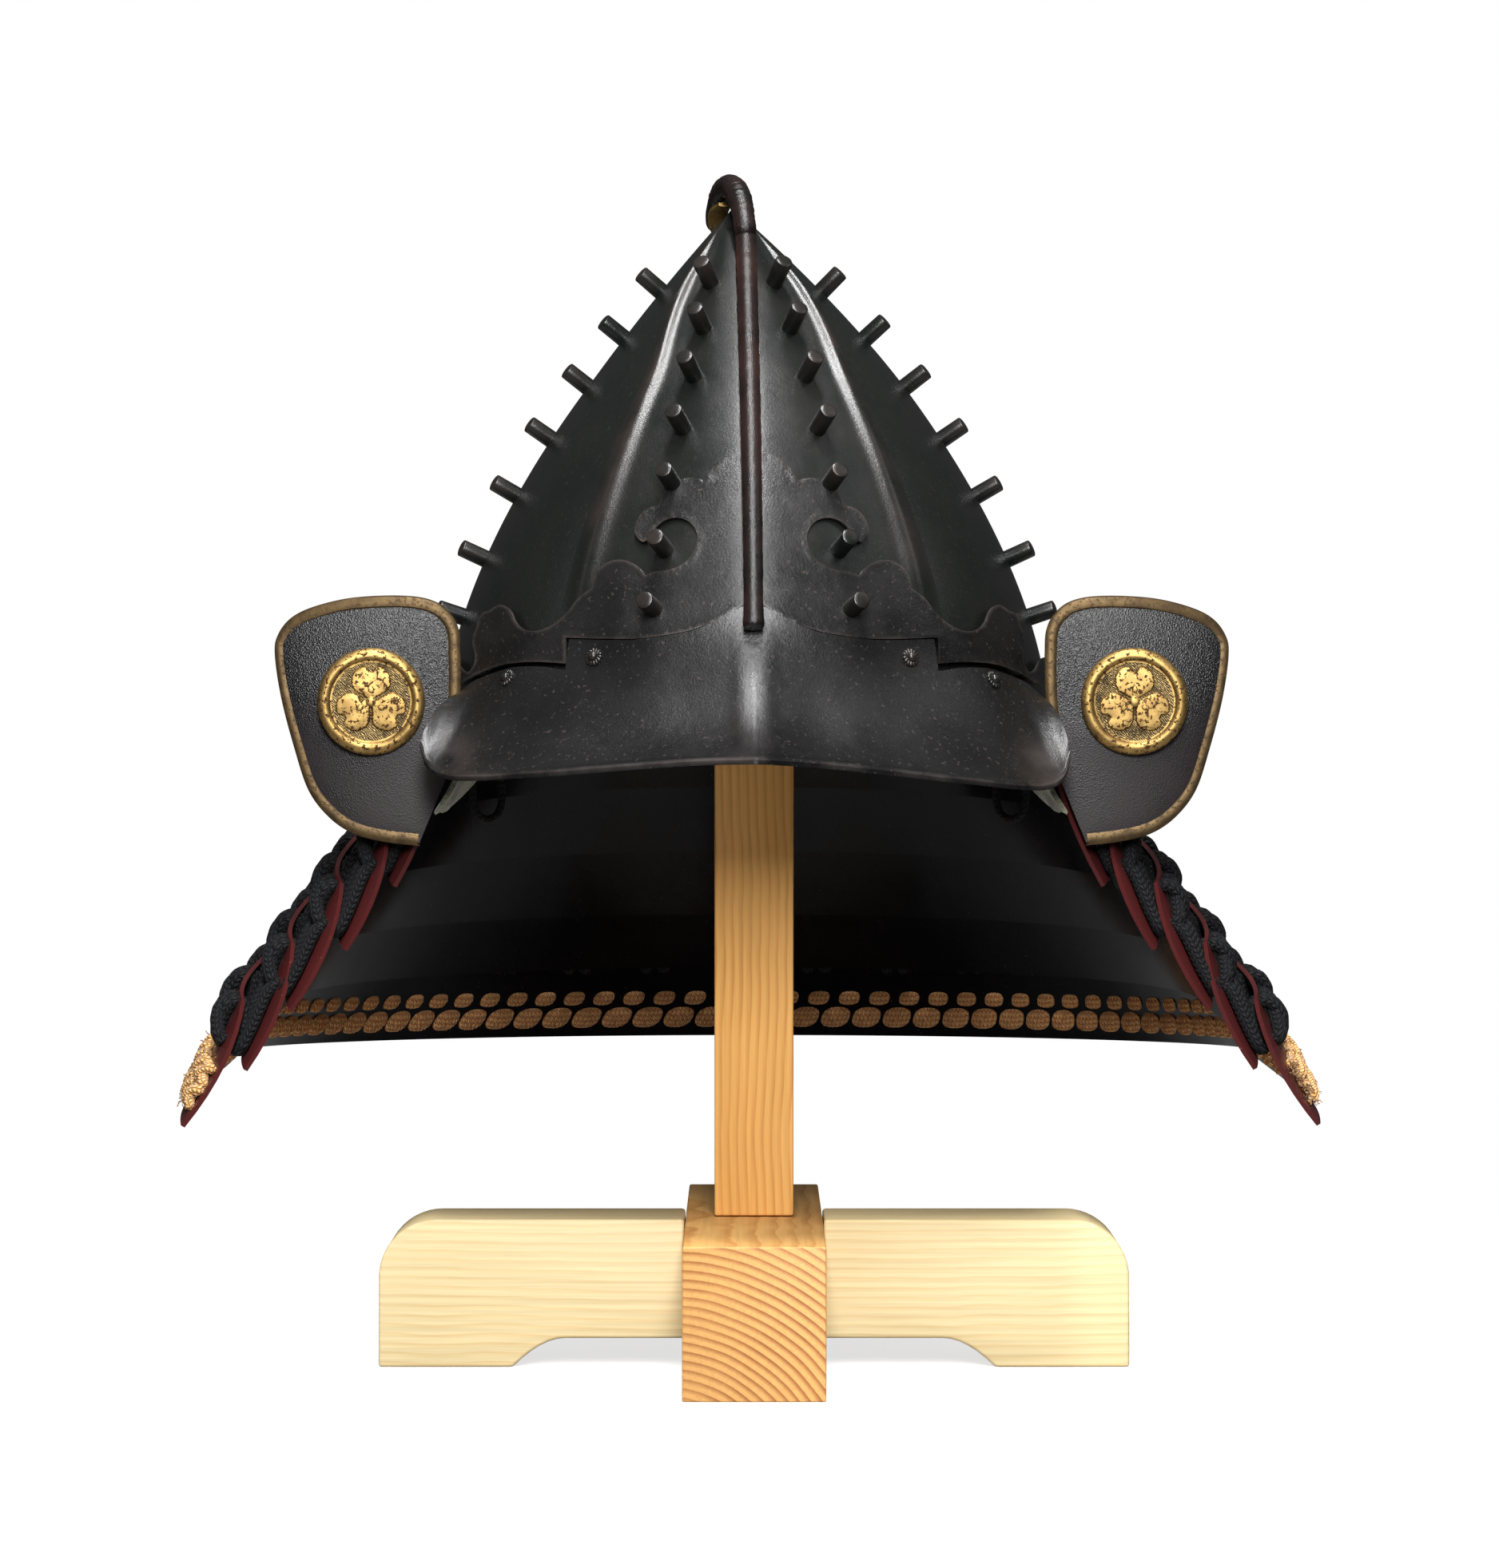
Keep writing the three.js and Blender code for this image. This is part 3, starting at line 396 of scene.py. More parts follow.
softbox("front", (0.05, -2.3, 1.25), (0, 0, 0.2), (0.45, 0.95), 66)
softbox("upper front", (0.03, -1.33, 1.9), (0, 0, 0.3), (0.4, 0.55), 17)
softbox("overhead", (0.03, -0.5, 2.0), (0, 0, 0.3), (0.12, 0.6), 34)
softbox("right", (1.5, -0.3, 1.6), (0, 0, 0.3), (0.35, 0.9), 2.5)
softbox("left", (-1.6, -0.3, 1.2), (0, 0, 0.3), (0.3, 0.9), 0.8)

# ---------------------------------------------------------------- stand
# Two planed pine boards halved across each other, with arched undersides, carry a square
# pine post; the cross board's upper corners are rounded and all edges are just eased.
PINE_EASING, EASED_OVER = 0.0012, math.radians(32)
PINE_WANDER, PINE_FIBRES = (0.010, 0.0, 0.010), (900.0, 14.0, 900.0)
LATE_FROM, LATE_FULL, LATE_TO = 0.35, 0.86, 0.97
FINISH = {"Color": "Color", "Roughness": "Float", "Height": "Float"}  # what a finish puts out


def vector_step(tree, operation, *terms):
    return node(tree, "ShaderNodeVectorMath", dict(enumerate(terms)),
                operation=operation).outputs[0]


def pine_group():
    """Growth rings round a pith line along the group's Y, with pale early and dark late wood."""
    tree, entry, leave = new_group(
        "pine growth rings", "ShaderNodeTree",
        {"Vector": "Vector", "Rings per metre": "Float", "Early": "Color", "Late": "Color",
         "Contrast": "Float"}, FINISH)
    warp = node(tree, "ShaderNodeTexNoise", {"Vector": entry["Vector"], "Scale": 9.0,
                                             "Detail": 3.0}).outputs["Color"]
    bent = vector_step(tree, "MULTIPLY", warp, PINE_WANDER)
    moved = vector_step(tree, "ADD", entry["Vector"], bent)
    flat = vector_step(tree, "MULTIPLY", moved, (1.0, 0.0, 1.0))
    radius = node(tree, "ShaderNodeVectorMath", {0: flat}, operation="LENGTH").outputs["Value"]
    count = reckoned(tree, "MULTIPLY", radius, entry["Rings per metre"])
    ramp = node(tree, "ShaderNodeValToRGB", {"Fac": reckoned(tree, "FRACT", count)})
    steps = ramp.color_ramp.elements
    steps[0].position, steps[0].color = LATE_FROM, (0, 0, 0, 1)
    steps[1].position, steps[1].color = LATE_FULL, (1, 1, 1, 1)
    steps.new(LATE_TO).color = (0, 0, 0, 1)
    fibre = noise(tree, vector_step(tree, "MULTIPLY", entry["Vector"], PINE_FIBRES), 1.0, 3.0)
    varied = ranged(tree, noise(tree, moved, 31.0), 0.3, 0.7, 0.55)
    ring_share = reckoned(tree, "MULTIPLY", ramp.outputs["Color"], entry["Contrast"])
    late = reckoned(tree, "MULTIPLY", ring_share, varied)
    ringed = mixed(tree, late, entry["Early"], entry["Late"])
    toned = node(tree, "ShaderNodeVectorMath", {
        0: ringed, "Scale": ranged(tree, fibre, 0.3, 0.7, 0.90, 1.06),
    }, operation="SCALE")
    feed(tree, leave, {"Color": toned.outputs[0], "Height": fibre,
                       "Roughness": ranged(tree, fibre, 0, 1, 0.42, 0.6)})
    return tree


pine_rings = pine_group()


def finish_from(name, group, inputs, strength, distance):
    """A material whose colour, roughness and bump come from a finish group."""
    material, tree, shader = new_material(name)
    finish = node(tree, "ShaderNodeGroup", node_tree=group)
    feed(tree, finish, inputs)
    feed(tree, shader, {
        "Base Color": finish.outputs["Color"], "Roughness": finish.outputs["Roughness"],
        "Normal": bumped(tree, finish.outputs["Height"], strength, distance),
    })
    return material, tree, shader, finish


def pine_material(name, pith, turn, rings, early, late, contrast):
    """Pine whose pith runs along the turned Y axis through `pith`, in row metres."""
    material, tree, shader, grain = finish_from(name, pine_rings, {
        "Rings per metre": rings, "Early": early, "Late": late, "Contrast": contrast,
    }, 0.08, 0.0004)
    mapped = node(tree, "ShaderNodeMapping", {
        "Vector": own_place(tree), "Location": pith, "Rotation": turn,
    }, vector_type="TEXTURE")
    feed(tree, grain, {"Vector": mapped.outputs["Vector"]})
    feed(tree, shader, {"Specular IOR Level": 0.35})
    return material


def eased_copy(name, source, materials, width):
    """A copy of a CAD node with its edges eased; a second material is for its two ends."""
    graph = bmesh.new()
    graph.from_mesh(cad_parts[source].data)
    bmesh.ops.remove_doubles(graph, verts=graph.verts, dist=1e-6)
    bmesh.ops.dissolve_limit(graph, angle_limit=math.radians(0.5), verts=graph.verts,
                             edges=graph.edges)
    mesh = bpy.data.meshes.new(name)
    graph.to_mesh(mesh)
    graph.free()
    for material in materials:
        mesh.materials.append(material)
    for face in mesh.polygons:
        face.material_index = int(len(materials) > 1 and abs(face.normal.y) > 0.9)
    made = linked(name, mesh)
    easing = made.modifiers.new("easing", "BEVEL")
    easing.width = width
    easing.segments = 2
    easing.limit_method = "ANGLE"
    easing.angle_limit = EASED_OVER
    easing.harden_normals = True
    mesh.shade_smooth()
    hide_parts(source)
    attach(made, "root")


QUARTER = math.pi / 2
PALE_EARLY, PALE_LATE = (0.79, 0.645, 0.365, 1), (0.68, 0.45, 0.18, 1)
WARM_EARLY, WARM_LATE = (0.75, 0.40, 0.112, 1), (0.55, 0.21, 0.042, 1)
SIDE_EARLY, SIDE_LATE = (0.72, 0.405, 0.135, 1), (0.48, 0.19, 0.045, 1)
END_EARLY, END_LATE = (0.70, 0.37, 0.12, 1), (0.25, 0.065, 0.012, 1)
cross_pith = (0, post_y + 0.10, -0.16)
long_pith = (post_x - 0.026, 0, -0.030)
post_pith = (post_x - 0.10, post_y - 0.02, 0)
cross_pine = pine_material("pine cross board", cross_pith, (0, 0, QUARTER), 330, PALE_EARLY,
                           PALE_LATE, 0.55)
long_pine = pine_material("pine long board", long_pith, (0, 0, 0), 360, SIDE_EARLY,
                          SIDE_LATE, 0.8)
end_pine = pine_material("pine end grain", long_pith, (0, 0, 0), 300, END_EARLY, END_LATE, 1.0)
post_pine = pine_material("pine post", post_pith, (QUARTER, 0, 0), 300, WARM_EARLY, WARM_LATE,
                          0.75)
eased_copy("cross_board", "stand_cross_board", [cross_pine], PINE_EASING)
eased_copy("long_board", "stand_long_board", [long_pine, end_pine], PINE_EASING * 0.6)
eased_copy("post", "stand_post", [post_pine], PINE_EASING * 0.7)


# ---------------------------------------------------------------- bowl
# Four hammered iron plates riveted into a pointed bowl. The front and rear plates overlap
# the sides and have a rounded rib just inside their edges; all are black lacquered.
BRIM_Z, LOW_Z, APEX_Z, TOP_Z = 256.0, 250.0, 440.0, 438.4
HALF_WIDTH, FRONT, REAR = 114.5, 118.0, 128.0
FRONT_POWER, REAR_POWER, STRAIGHT_SHARE = 1.8, 2.2, 0.2
RIDGE, RIDGE_WIDTH = 2.5, 9.0
LEAN, LEAN_START = 5.0, 372.0
PLATE_THICKNESS, PLATE_PROUD = 2.2, 1.4
PLATE_ANGLE, PLATE_ANGLE_TOP, PLATE_SEAM = 40.0, 48.0, 0.16
PLATE_COLUMNS, PLATE_ROWS, INNER_TOP_DROP = 90, 130, 4.8
PLATE_WIDENS, PROUD_GROWS = (370, 412), (262, 285)  # heights between which each comes about
RIB_GROWS, RIB_FADES, RIB_WEARS = (272, 300), (404, 436), (285, 330)
RIB_HEIGHT, RIB_AT, RIB_SPREAD = 2.1, 0.885, 0.065
VALLEY_DEPTH, VALLEY_AT, VALLEY_SPREAD = 1.1, 0.58, 0.17
POINT_Z, POINT_PROUD = 430, 0.4
FLAT_WEAR, RIB_WEAR, SIDE_WEAR = 0.05, 0.55, 0.04
NORMAL_STEP = 0.4


def smoothstep(x, low, high):
    t = np.clip((np.asarray(x, float) - low) / (high - low), 0, 1)
    return t * t * (3 - 2 * t)


def closing(z, power, apex):
    t = np.clip((z - BRIM_Z) / (apex - BRIM_Z), 0, 1)
    return STRAIGHT_SHARE * t + (1 - STRAIGHT_SHARE) * t ** power


def apex_lean(z):
    """The bowl's point stands a little to one side."""
    return -LEAN * (np.maximum(0, z - LEAN_START) / (APEX_Z - LEAN_START)) ** 1.5


def skin(angle, z, inset=0.0):
    """The bowl's skin at an angle from the front (towards +X) and a height."""
    angle, z = np.broadcast_arrays(np.asarray(angle, float), np.asarray(z, float))
    apex = APEX_Z - 2 * inset
    turn = np.radians(angle)
    opened = 1 - closing(z, FRONT_POWER, apex)
    rear_opened = 1 - closing(z, REAR_POWER, apex)
    x = (HALF_WIDTH - inset) * opened * np.sin(turn) + apex_lean(z)
    ridge = RIDGE * opened * np.exp(-((angle / RIDGE_WIDTH) ** 2))
    front = -((FRONT - inset) * opened * np.cos(turn) + ridge)
    rear = -(REAR - inset) * rear_opened * np.cos(turn)
    return np.stack([x, np.where(np.cos(turn) >= 0, front, rear), z], axis=-1)


def skin_normal(angle, z):
    around = skin(np.add(angle, NORMAL_STEP), z) - skin(np.add(angle, -NORMAL_STEP), z)
    up = skin(angle, np.add(z, NORMAL_STEP)) - skin(angle, np.add(z, -NORMAL_STEP))
    normal = np.cross(around, up)
    return normal / np.linalg.norm(normal, axis=-1, keepdims=True)


def on_skin(angle, z, lift):
    return skin(angle, z) + skin_normal(angle, z) * np.asarray(lift)[..., None]


def sheet(name, outer, inner, materials, inner_slot=0):
    """A closed sheet from two (rows, columns, 3) grids of helmet millimetres."""
    rows, columns = outer.shape[:2]
    points = np.concatenate([placed(outer).reshape(-1, 3), placed(inner).reshape(-1, 3)])
    grid = np.arange(rows * columns).reshape(rows, columns)
    back = grid + rows * columns
    faces = []
    slots = []
    for a, b, c, d, slot in (
        (grid[:-1, :-1], grid[:-1, 1:], grid[1:, 1:], grid[1:, :-1], 0),
        (back[1:, :-1], back[1:, 1:], back[:-1, 1:], back[:-1, :-1], inner_slot),
        (back[0, :-1], back[0, 1:], grid[0, 1:], grid[0, :-1], 0),
        (grid[-1, :-1], grid[-1, 1:], back[-1, 1:], back[-1, :-1], 0),
        (grid[:-1, 0], grid[1:, 0], back[1:, 0], back[:-1, 0], 0),
        (back[:-1, -1], back[1:, -1], grid[1:, -1], grid[:-1, -1], 0),
    ):
        quads = np.stack([a, b, c, d], axis=-1).reshape(-1, 4).tolist()
        faces.extend(quads)
        slots.extend([slot] * len(quads))
    made = add_mesh(name, points, faces, materials)
    made.data.polygons.foreach_set("material_index", slots)
    face_up(made)
    return made


def wear_group():
    """Old lacquer over iron: mottled black, rubbed brown where the mask says."""
    tree, entry, leave = new_group(
        "rubbed lacquer", "ShaderNodeTree",
        {"Wear": "Float", "Base": "Color", "Rubbed": "Color", "Speckle": "Float"},
        FINISH)
    place = own_place(tree)
    cloud = noise(tree, place, 38.0, 5.0, 0.6)
    grain = noise(tree, place, 1250.0, 4.0, 0.7)
    hammered = noise(tree, place, 190.0)
    pit_mask = ranged(tree, noise(tree, place, 620.0), 0.64, 0.70)
    speckled = reckoned(tree, "MULTIPLY", pit_mask, entry["Speckle"])
    worn = reckoned(tree, "MULTIPLY", entry["Wear"], ranged(tree, cloud, 0.36, 0.68))
    total = reckoned(tree, "MAXIMUM", worn, speckled, clamped=True)
    feed(tree, leave, {
        "Color": mixed(tree, total, entry["Base"], entry["Rubbed"]),
        "Roughness": ranged(tree, cloud, 0.3, 0.7, 0.25, 0.35),
        "Height": reckoned(tree, "MULTIPLY_ADD", hammered, 1.1, grain),
    })
    return tree


rubbed_lacquer = wear_group()


def lacquered(name, base, rubbed, speckle, bump_strength):
    material, tree, _, finish = finish_from(name, rubbed_lacquer, {
        "Base": base, "Rubbed": rubbed, "Speckle": speckle,
    }, bump_strength, 0.0004)
    worn = node(tree, "ShaderNodeAttribute", attribute_name="wear")
    feed(tree, finish, {"Wear": worn.outputs["Fac"]})
    return material


black_iron = lacquered("black lacquered iron", (0.0046, 0.0060, 0.0053, 1),
                       (0.050, 0.032, 0.026, 1), 0.22, 0.22)
speckled_iron = lacquered("speckled lacquered iron", (0.0034, 0.0034, 0.0036, 1),
                          (0.062, 0.050, 0.046, 1), 0.5, 0.3)


def set_wear(made, values):
    layer = made.data.attributes.new("wear", "FLOAT", "POINT")
    layer.data.foreach_set("value", np.asarray(values, float).ravel())


def plate_angle(z):
    return PLATE_ANGLE + (PLATE_ANGLE_TOP - PLATE_ANGLE) * smoothstep(z, *PLATE_WIDENS)


def bump_at(value, middle, width):
    """A smooth bump of 1 at the middle value."""
    return np.exp(-(((value - middle) / width) ** 2))


def plate_lift(share, z):
    """Lift of a ribbed plate: share is 0 at its middle and 1 at its edges."""
    fade = smoothstep(z, *RIB_GROWS) * (1 - smoothstep(z, *RIB_FADES))
    relief = (RIB_HEIGHT * bump_at(share, RIB_AT, RIB_SPREAD)
              - VALLEY_DEPTH * bump_at(share, VALLEY_AT, VALLEY_SPREAD))
    proud = PLATE_PROUD * smoothstep(z, *PROUD_GROWS) * np.where(z < POINT_Z, 1, POINT_PROUD)
    return fade * relief + proud


def plate_wear(share, z):
    return FLAT_WEAR + RIB_WEAR * bump_at(share, 0.9, 0.08) * smoothstep(z, *RIB_WEARS)


def bowl_plate(name, source, middle, ribbed):
    """One plate about its middle angle; ribbed plates are lifted over the plain ones."""
    z = np.linspace(LOW_Z, TOP_Z, PLATE_ROWS)[:, None]
    inner_z = np.linspace(LOW_Z, TOP_Z - INNER_TOP_DROP, PLATE_ROWS)[:, None]
    u = np.linspace(-1, 1, PLATE_COLUMNS)[None, :]
    half = plate_angle(z) if ribbed else 90 - plate_angle(z)
    reach = HALF_WIDTH * (1 - closing(z, FRONT_POWER, APEX_Z))
    angle = middle + u * (half - np.degrees(PLATE_SEAM / np.maximum(reach, 1.0)))
    angle = np.where(angle > 180, angle - 360, angle)
    lift = plate_lift(np.abs(u), z) if ribbed else 0 * angle
    made = sheet(name, on_skin(angle, z, lift),
                 skin(angle, inner_z + 0 * angle, PLATE_THICKNESS), [black_iron])
    wear = plate_wear(np.abs(u), z) + 0 * angle if ribbed else SIDE_WEAR + 0 * angle
    set_wear(made, np.concatenate([wear, wear]))
    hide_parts(source)
    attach(made, "root")


bowl_plate("front_plate", "bowl_front", 0, True)
bowl_plate("rear_plate", "bowl_rear", 180, True)
bowl_plate("left_plate", "bowl_left", -90, False)
bowl_plate("right_plate", "bowl_right", 90, False)

# ---------------------------------------------------------------- rivets
# Seven rows of plain iron pegs stand square to the bowl, two on each face near the ridge,
# one on each side and two behind; they are driven through the plates and clenched inside.
RIVET_RADIUS, RIVET_PROUD, RIVET_SUNK, RIVET_BEVEL = 3.35, 12.3, 1.6, 0.55
RIVET_SIDES, CAP_WEAR, SHANK_WEAR = 20, 0.4, 0.05
SIDE_RIVET_ANGLE = 85.0
FRONT_TURN, FRONT_RAISE, SIDE_TURN, SIDE_LENGTH = 4.0, 1.2, -12.0, 0.86
RIVET_ROWS = [  # height, angle from the front
    (284, 19), (306, 18.5), (330, 19), (351.5, 19.5), (371.5, 20), (390, 20.5), (408, 23),
]


def lathe(profile, sides):
    """Points and faces of a closed turned body about +Z from (radius, height) pairs."""
    points = []
    faces = []
    rings = []
    for radius, height in profile:
        if radius == 0:
            rings.append([len(points)])
            points.append((0, 0, height))
            continue
        rings.append(list(range(len(points), len(points) + sides)))
        for i in range(sides):
            turn = 2 * math.pi * i / sides
            points.append((radius * math.cos(turn), radius * math.sin(turn), height))
    for low, high in zip(rings, rings[1:]):
        for i in range(sides):
            k = (i + 1) % sides
            if len(low) == 1:
                faces.append((low[0], high[k], high[i]))
            elif len(high) == 1:
                faces.append((low[i], low[k], high[0]))
            else:
                faces.append((low[i], low[k], high[k], high[i]))
    return points, faces


def scatter_tree():
    """Places copies of one piece on points, its Z along `out` and its Y along `up`."""
    tree, entry, leave = new_group(
        "set pieces", "GeometryNodeTree",
        {"Geometry": "Geometry", "Piece": "Object", "Material": "Material"},
        {"Geometry": "Geometry"})
    outwards, upwards, size = (
        node(tree, "GeometryNodeInputNamedAttribute", {"Name": key},
             data_type="FLOAT_VECTOR").outputs["Attribute"] for key in ("out", "up", "size"))
    facing = node(tree, "FunctionNodeAlignRotationToVector", {"Vector": outwards}, axis="Z")
    turned = node(tree, "FunctionNodeAlignRotationToVector",
                  {"Rotation": facing.outputs["Rotation"], "Vector": upwards}, axis="Y",
                  pivot_axis="Z")
    piece = node(tree, "GeometryNodeObjectInfo", {"Object": entry["Piece"]})
    placed_copies = node(tree, "GeometryNodeInstanceOnPoints", {
        "Points": entry["Geometry"], "Instance": piece.outputs["Geometry"],
        "Rotation": turned.outputs["Rotation"], "Scale": size,
    })
    real = node(tree, "GeometryNodeRealizeInstances",
                {"Geometry": placed_copies.outputs["Instances"]})
    finished = node(tree, "GeometryNodeSetMaterial", {
        "Geometry": real.outputs["Geometry"], "Material": entry["Material"],
    })
    feed(tree, leave, {"Geometry": finished.outputs["Geometry"]})
    return tree


set_pieces = scatter_tree()


def scatter(name, prototype, places, material):
    """One object of copies of `prototype`, whose places are (point, out, up, size) in metres."""
    carrier = bpy.data.meshes.new(name + " places")
    carrier.from_pydata([tuple(map(float, place[0])) for place in places], [], [])
    for index, key in ((1, "out"), (2, "up"), (3, "size")):
        layer = carrier.attributes.new(key, "FLOAT_VECTOR", "POINT")
        values = np.array([place[index] for place in places], float)
        layer.data.foreach_set("vector", values.ravel())
    holder = linked(name + " places", carrier)
    modifier = holder.modifiers.new("set", "NODES")
    modifier.node_group = set_pieces
    sockets = {item.name: item.identifier for item in set_pieces.interface.items_tree
               if item.in_out == "INPUT"}
    modifier[sockets["Piece"]] = prototype
    modifier[sockets["Material"]] = material
    graph = bpy.context.evaluated_depsgraph_get()
    mesh = bpy.data.meshes.new_from_object(holder.evaluated_get(graph))
    mesh.name = name
    made = linked(name, mesh)
    holder.modifiers.clear()
    bpy.data.objects.remove(holder)
    bpy.data.objects.remove(prototype)
    return made


UP = (0.0, 0.0, 1.0)
peg_profile = [
    (0, -RIVET_SUNK), (RIVET_RADIUS, -RIVET_SUNK), (RIVET_RADIUS, 2.0),
    (RIVET_RADIUS * 0.985, RIVET_PROUD - RIVET_BEVEL * 1.2),
    (RIVET_RADIUS - RIVET_BEVEL * 0.35, RIVET_PROUD - RIVET_BEVEL * 0.35),
    (RIVET_RADIUS - RIVET_BEVEL, RIVET_PROUD), (RIVET_RADIUS * 0.5, RIVET_PROUD + 0.12),
    (0, RIVET_PROUD + 0.18),
]
peg_points, peg_faces = lathe(peg_profile, RIVET_SIDES)
peg = add_mesh("peg", np.array(peg_points) / 1000, peg_faces, [black_iron])
face_up(peg)
set_wear(peg, [CAP_WEAR if z > RIVET_PROUD - RIVET_BEVEL * 1.5 else SHANK_WEAR
               for _, _, z in peg_points])
peg_places = []
for row_z, row_angle in RIVET_ROWS:
    for side in (-1, 1):
        for angle, turn, raised, size in (
            (row_angle, FRONT_TURN, FRONT_RAISE, 1.0),
            (SIDE_RIVET_ANGLE, SIDE_TURN, 0, SIDE_LENGTH),
            (180 - row_angle, -FRONT_TURN, 0, 1.0),
        ):
            foot = placed(skin(side * angle, row_z + raised))
            normal = skin_normal(side * angle, row_z + raised)
            tilt = math.radians(side * turn)
            out = (normal[0] * math.cos(tilt) - normal[1] * math.sin(tilt),
                   normal[0] * math.sin(tilt) + normal[1] * math.cos(tilt), normal[2])
            peg_places.append((foot, turned_directions(out), UP, (1, 1, size)))
rivets = scatter("rivets", peg, peg_places, black_iron)
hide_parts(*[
    f"rivet_{face}_{side}_{index}"
    for face in ("front", "side") for side in ("left", "right")
    for index in range(1, len(RIVET_ROWS) + 1)
])
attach(rivets, "root")

# ---------------------------------------------------------------- ridge rod and crest
# A forged iron rod follows the ridge from the peak to the top and curls over the apex into
# a hooked crest; it is russet-lacquered, creased where it bends, and gilt on the hook's face.
ROD_LOW, ROD_HIGH = 276.6, 424.0
ROD_LOW_RADIUS, ROD_HIGH_RADIUS = 3.5, 4.0
ROD_CLEAR_LOW, ROD_CLEAR_HIGH, ROD_GAP = 4.2, 1.4, 0.4
CREST = [  # x, y, z, radius
    (-0.9, -21.5, 431, 4.2), (-1.9, -16, 439, 4.4), (-3.8, -8.5, 445.6, 4.6),
    (-6.4, 0, 448.1, 4.6), (-9.2, 8, 446, 4.4), (-11, 14.5, 440.5, 4), (-11.6, 18.8, 433, 3.6),
]
ROD_SIDES, ROD_STEP = 24, 0.7
ROD_NEARS, ROD_DRIFT, ROD_FLARE, ROD_FLARE_LENGTH = (342, 400), -0.6, 0.45, 5
CREASE_DEPTH, CREASED, CREASED_TO_Y = 0.16, (428, 442), 12

rod_z = np.linspace(ROD_LOW, ROD_HIGH, 40)
rod_share = (rod_z - ROD_LOW) / (ROD_HIGH - ROD_LOW)
rod_radius = ROD_LOW_RADIUS + (ROD_HIGH_RADIUS - ROD_LOW_RADIUS) * rod_share
rod_clear = ROD_CLEAR_LOW + (ROD_CLEAR_HIGH - ROD_CLEAR_LOW) * smoothstep(rod_z, *ROD_NEARS)
rod_line = on_skin(0 * rod_z, rod_z, rod_radius + rod_clear + ROD_GAP)
rod_line[:, 0] = ROD_DRIFT * rod_share ** 2
rod_stations = np.vstack([np.column_stack([rod_line, rod_radius]), CREST])
rod_path = curve_through(rod_stations, ROD_STEP)
rod_run = np.arange(len(rod_path)) * ROD_STEP
bent = smoothstep(rod_path[:, 2], *CREASED) * (rod_path[:, 1] < CREASED_TO_Y)
creases = CREASE_DEPTH * bent * np.sin(rod_run * 2.6 + 1.1 * np.sin(rod_run * 0.7))
uneven = 0.07 * np.sin(rod_run * 0.35) + 0.05 * np.sin(rod_run * 0.91 + 1)
rod_radii = rod_path[:, 3] + creases + uneven
rod_radii += ROD_FLARE * bump_at(rod_run, 0, ROD_FLARE_LENGTH)
rod_radii[0:3] *= (0.85, 0.96, 0.99)
rod_radii[-6:] *= (0.99, 0.97, 0.93, 0.86, 0.74, 0.5)
rod_rings = tube_rings(rod_path[:, :3], rod_radii, ROD_SIDES)
russet_iron = lacquered("russet lacquered iron", (0.0050, 0.0034, 0.0032, 1),
                        (0.075, 0.026, 0.018, 1), 0.35, 0.5)
ridge_rod = tube_mesh("ridge_rod_and_crest", [rod_rings], russet_iron, ROD_STEP)
rod_turn = 2 * np.pi * np.arange(ROD_SIDES) / ROD_SIDES
# Some brown all round the rod, and more along both of its flanks.
rod_brown_share = 0.2 + 0.6 * bump_at(np.abs(np.cos(rod_turn)), 0.93, 0.10)
set_wear(ridge_rod, np.tile(rod_brown_share, len(rod_rings)))
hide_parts("ridge_rod")
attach(ridge_rod, "root")

LINING = [  # x, y, z of the gilt strip's middle line inside the hook
    (-8.2, 1.5, 442.2), (-10.2, 6.6, 439.8), (-11.2, 10.6, 436), (-11.6, 13.2, 431.5),
]
LINING_HALF_WIDTH, LINING_THICKNESS, LINING_SWELL = 3.6, 1.2, 0.5


def metal_group():
    """Old gilding: warm and cool patches, brown pits and a fine grain."""
    tree, entry, leave = new_group(
        "pitted gilding", "ShaderNodeTree",
        {"Bright": "Color", "Dull": "Color", "Pit": "Color", "Pitting": "Float"},
        FINISH)
    place = own_place(tree)
    patch = noise(tree, place, 210.0, 4.0)
    speck_mask = ranged(tree, noise(tree, place, 640.0, 3.0, 0.62), 0.55, 0.60)
    pits = reckoned(tree, "MULTIPLY", speck_mask, entry["Pitting"])
    tone = mixed(tree, ranged(tree, patch, 0.38, 0.66), entry["Bright"], entry["Dull"])
    feed(tree, leave, {
        "Color": mixed(tree, pits, tone, entry["Pit"]),
        "Roughness": ranged(tree, pits, 0, 1, 0.50, 0.8),
        "Height": reckoned(tree, "SUBTRACT", patch, pits),
    })
    return tree


pitted_gilding = metal_group()


def gilded(name, bright, dull, pit, pitting, metallic=1.0):
    material, tree, shader, _ = finish_from(name, pitted_gilding, {
        "Bright": bright, "Dull": dull, "Pit": pit, "Pitting": pitting,
    }, 0.35, 0.0003)
    feed(tree, shader, {"Metallic": metallic})
    return material


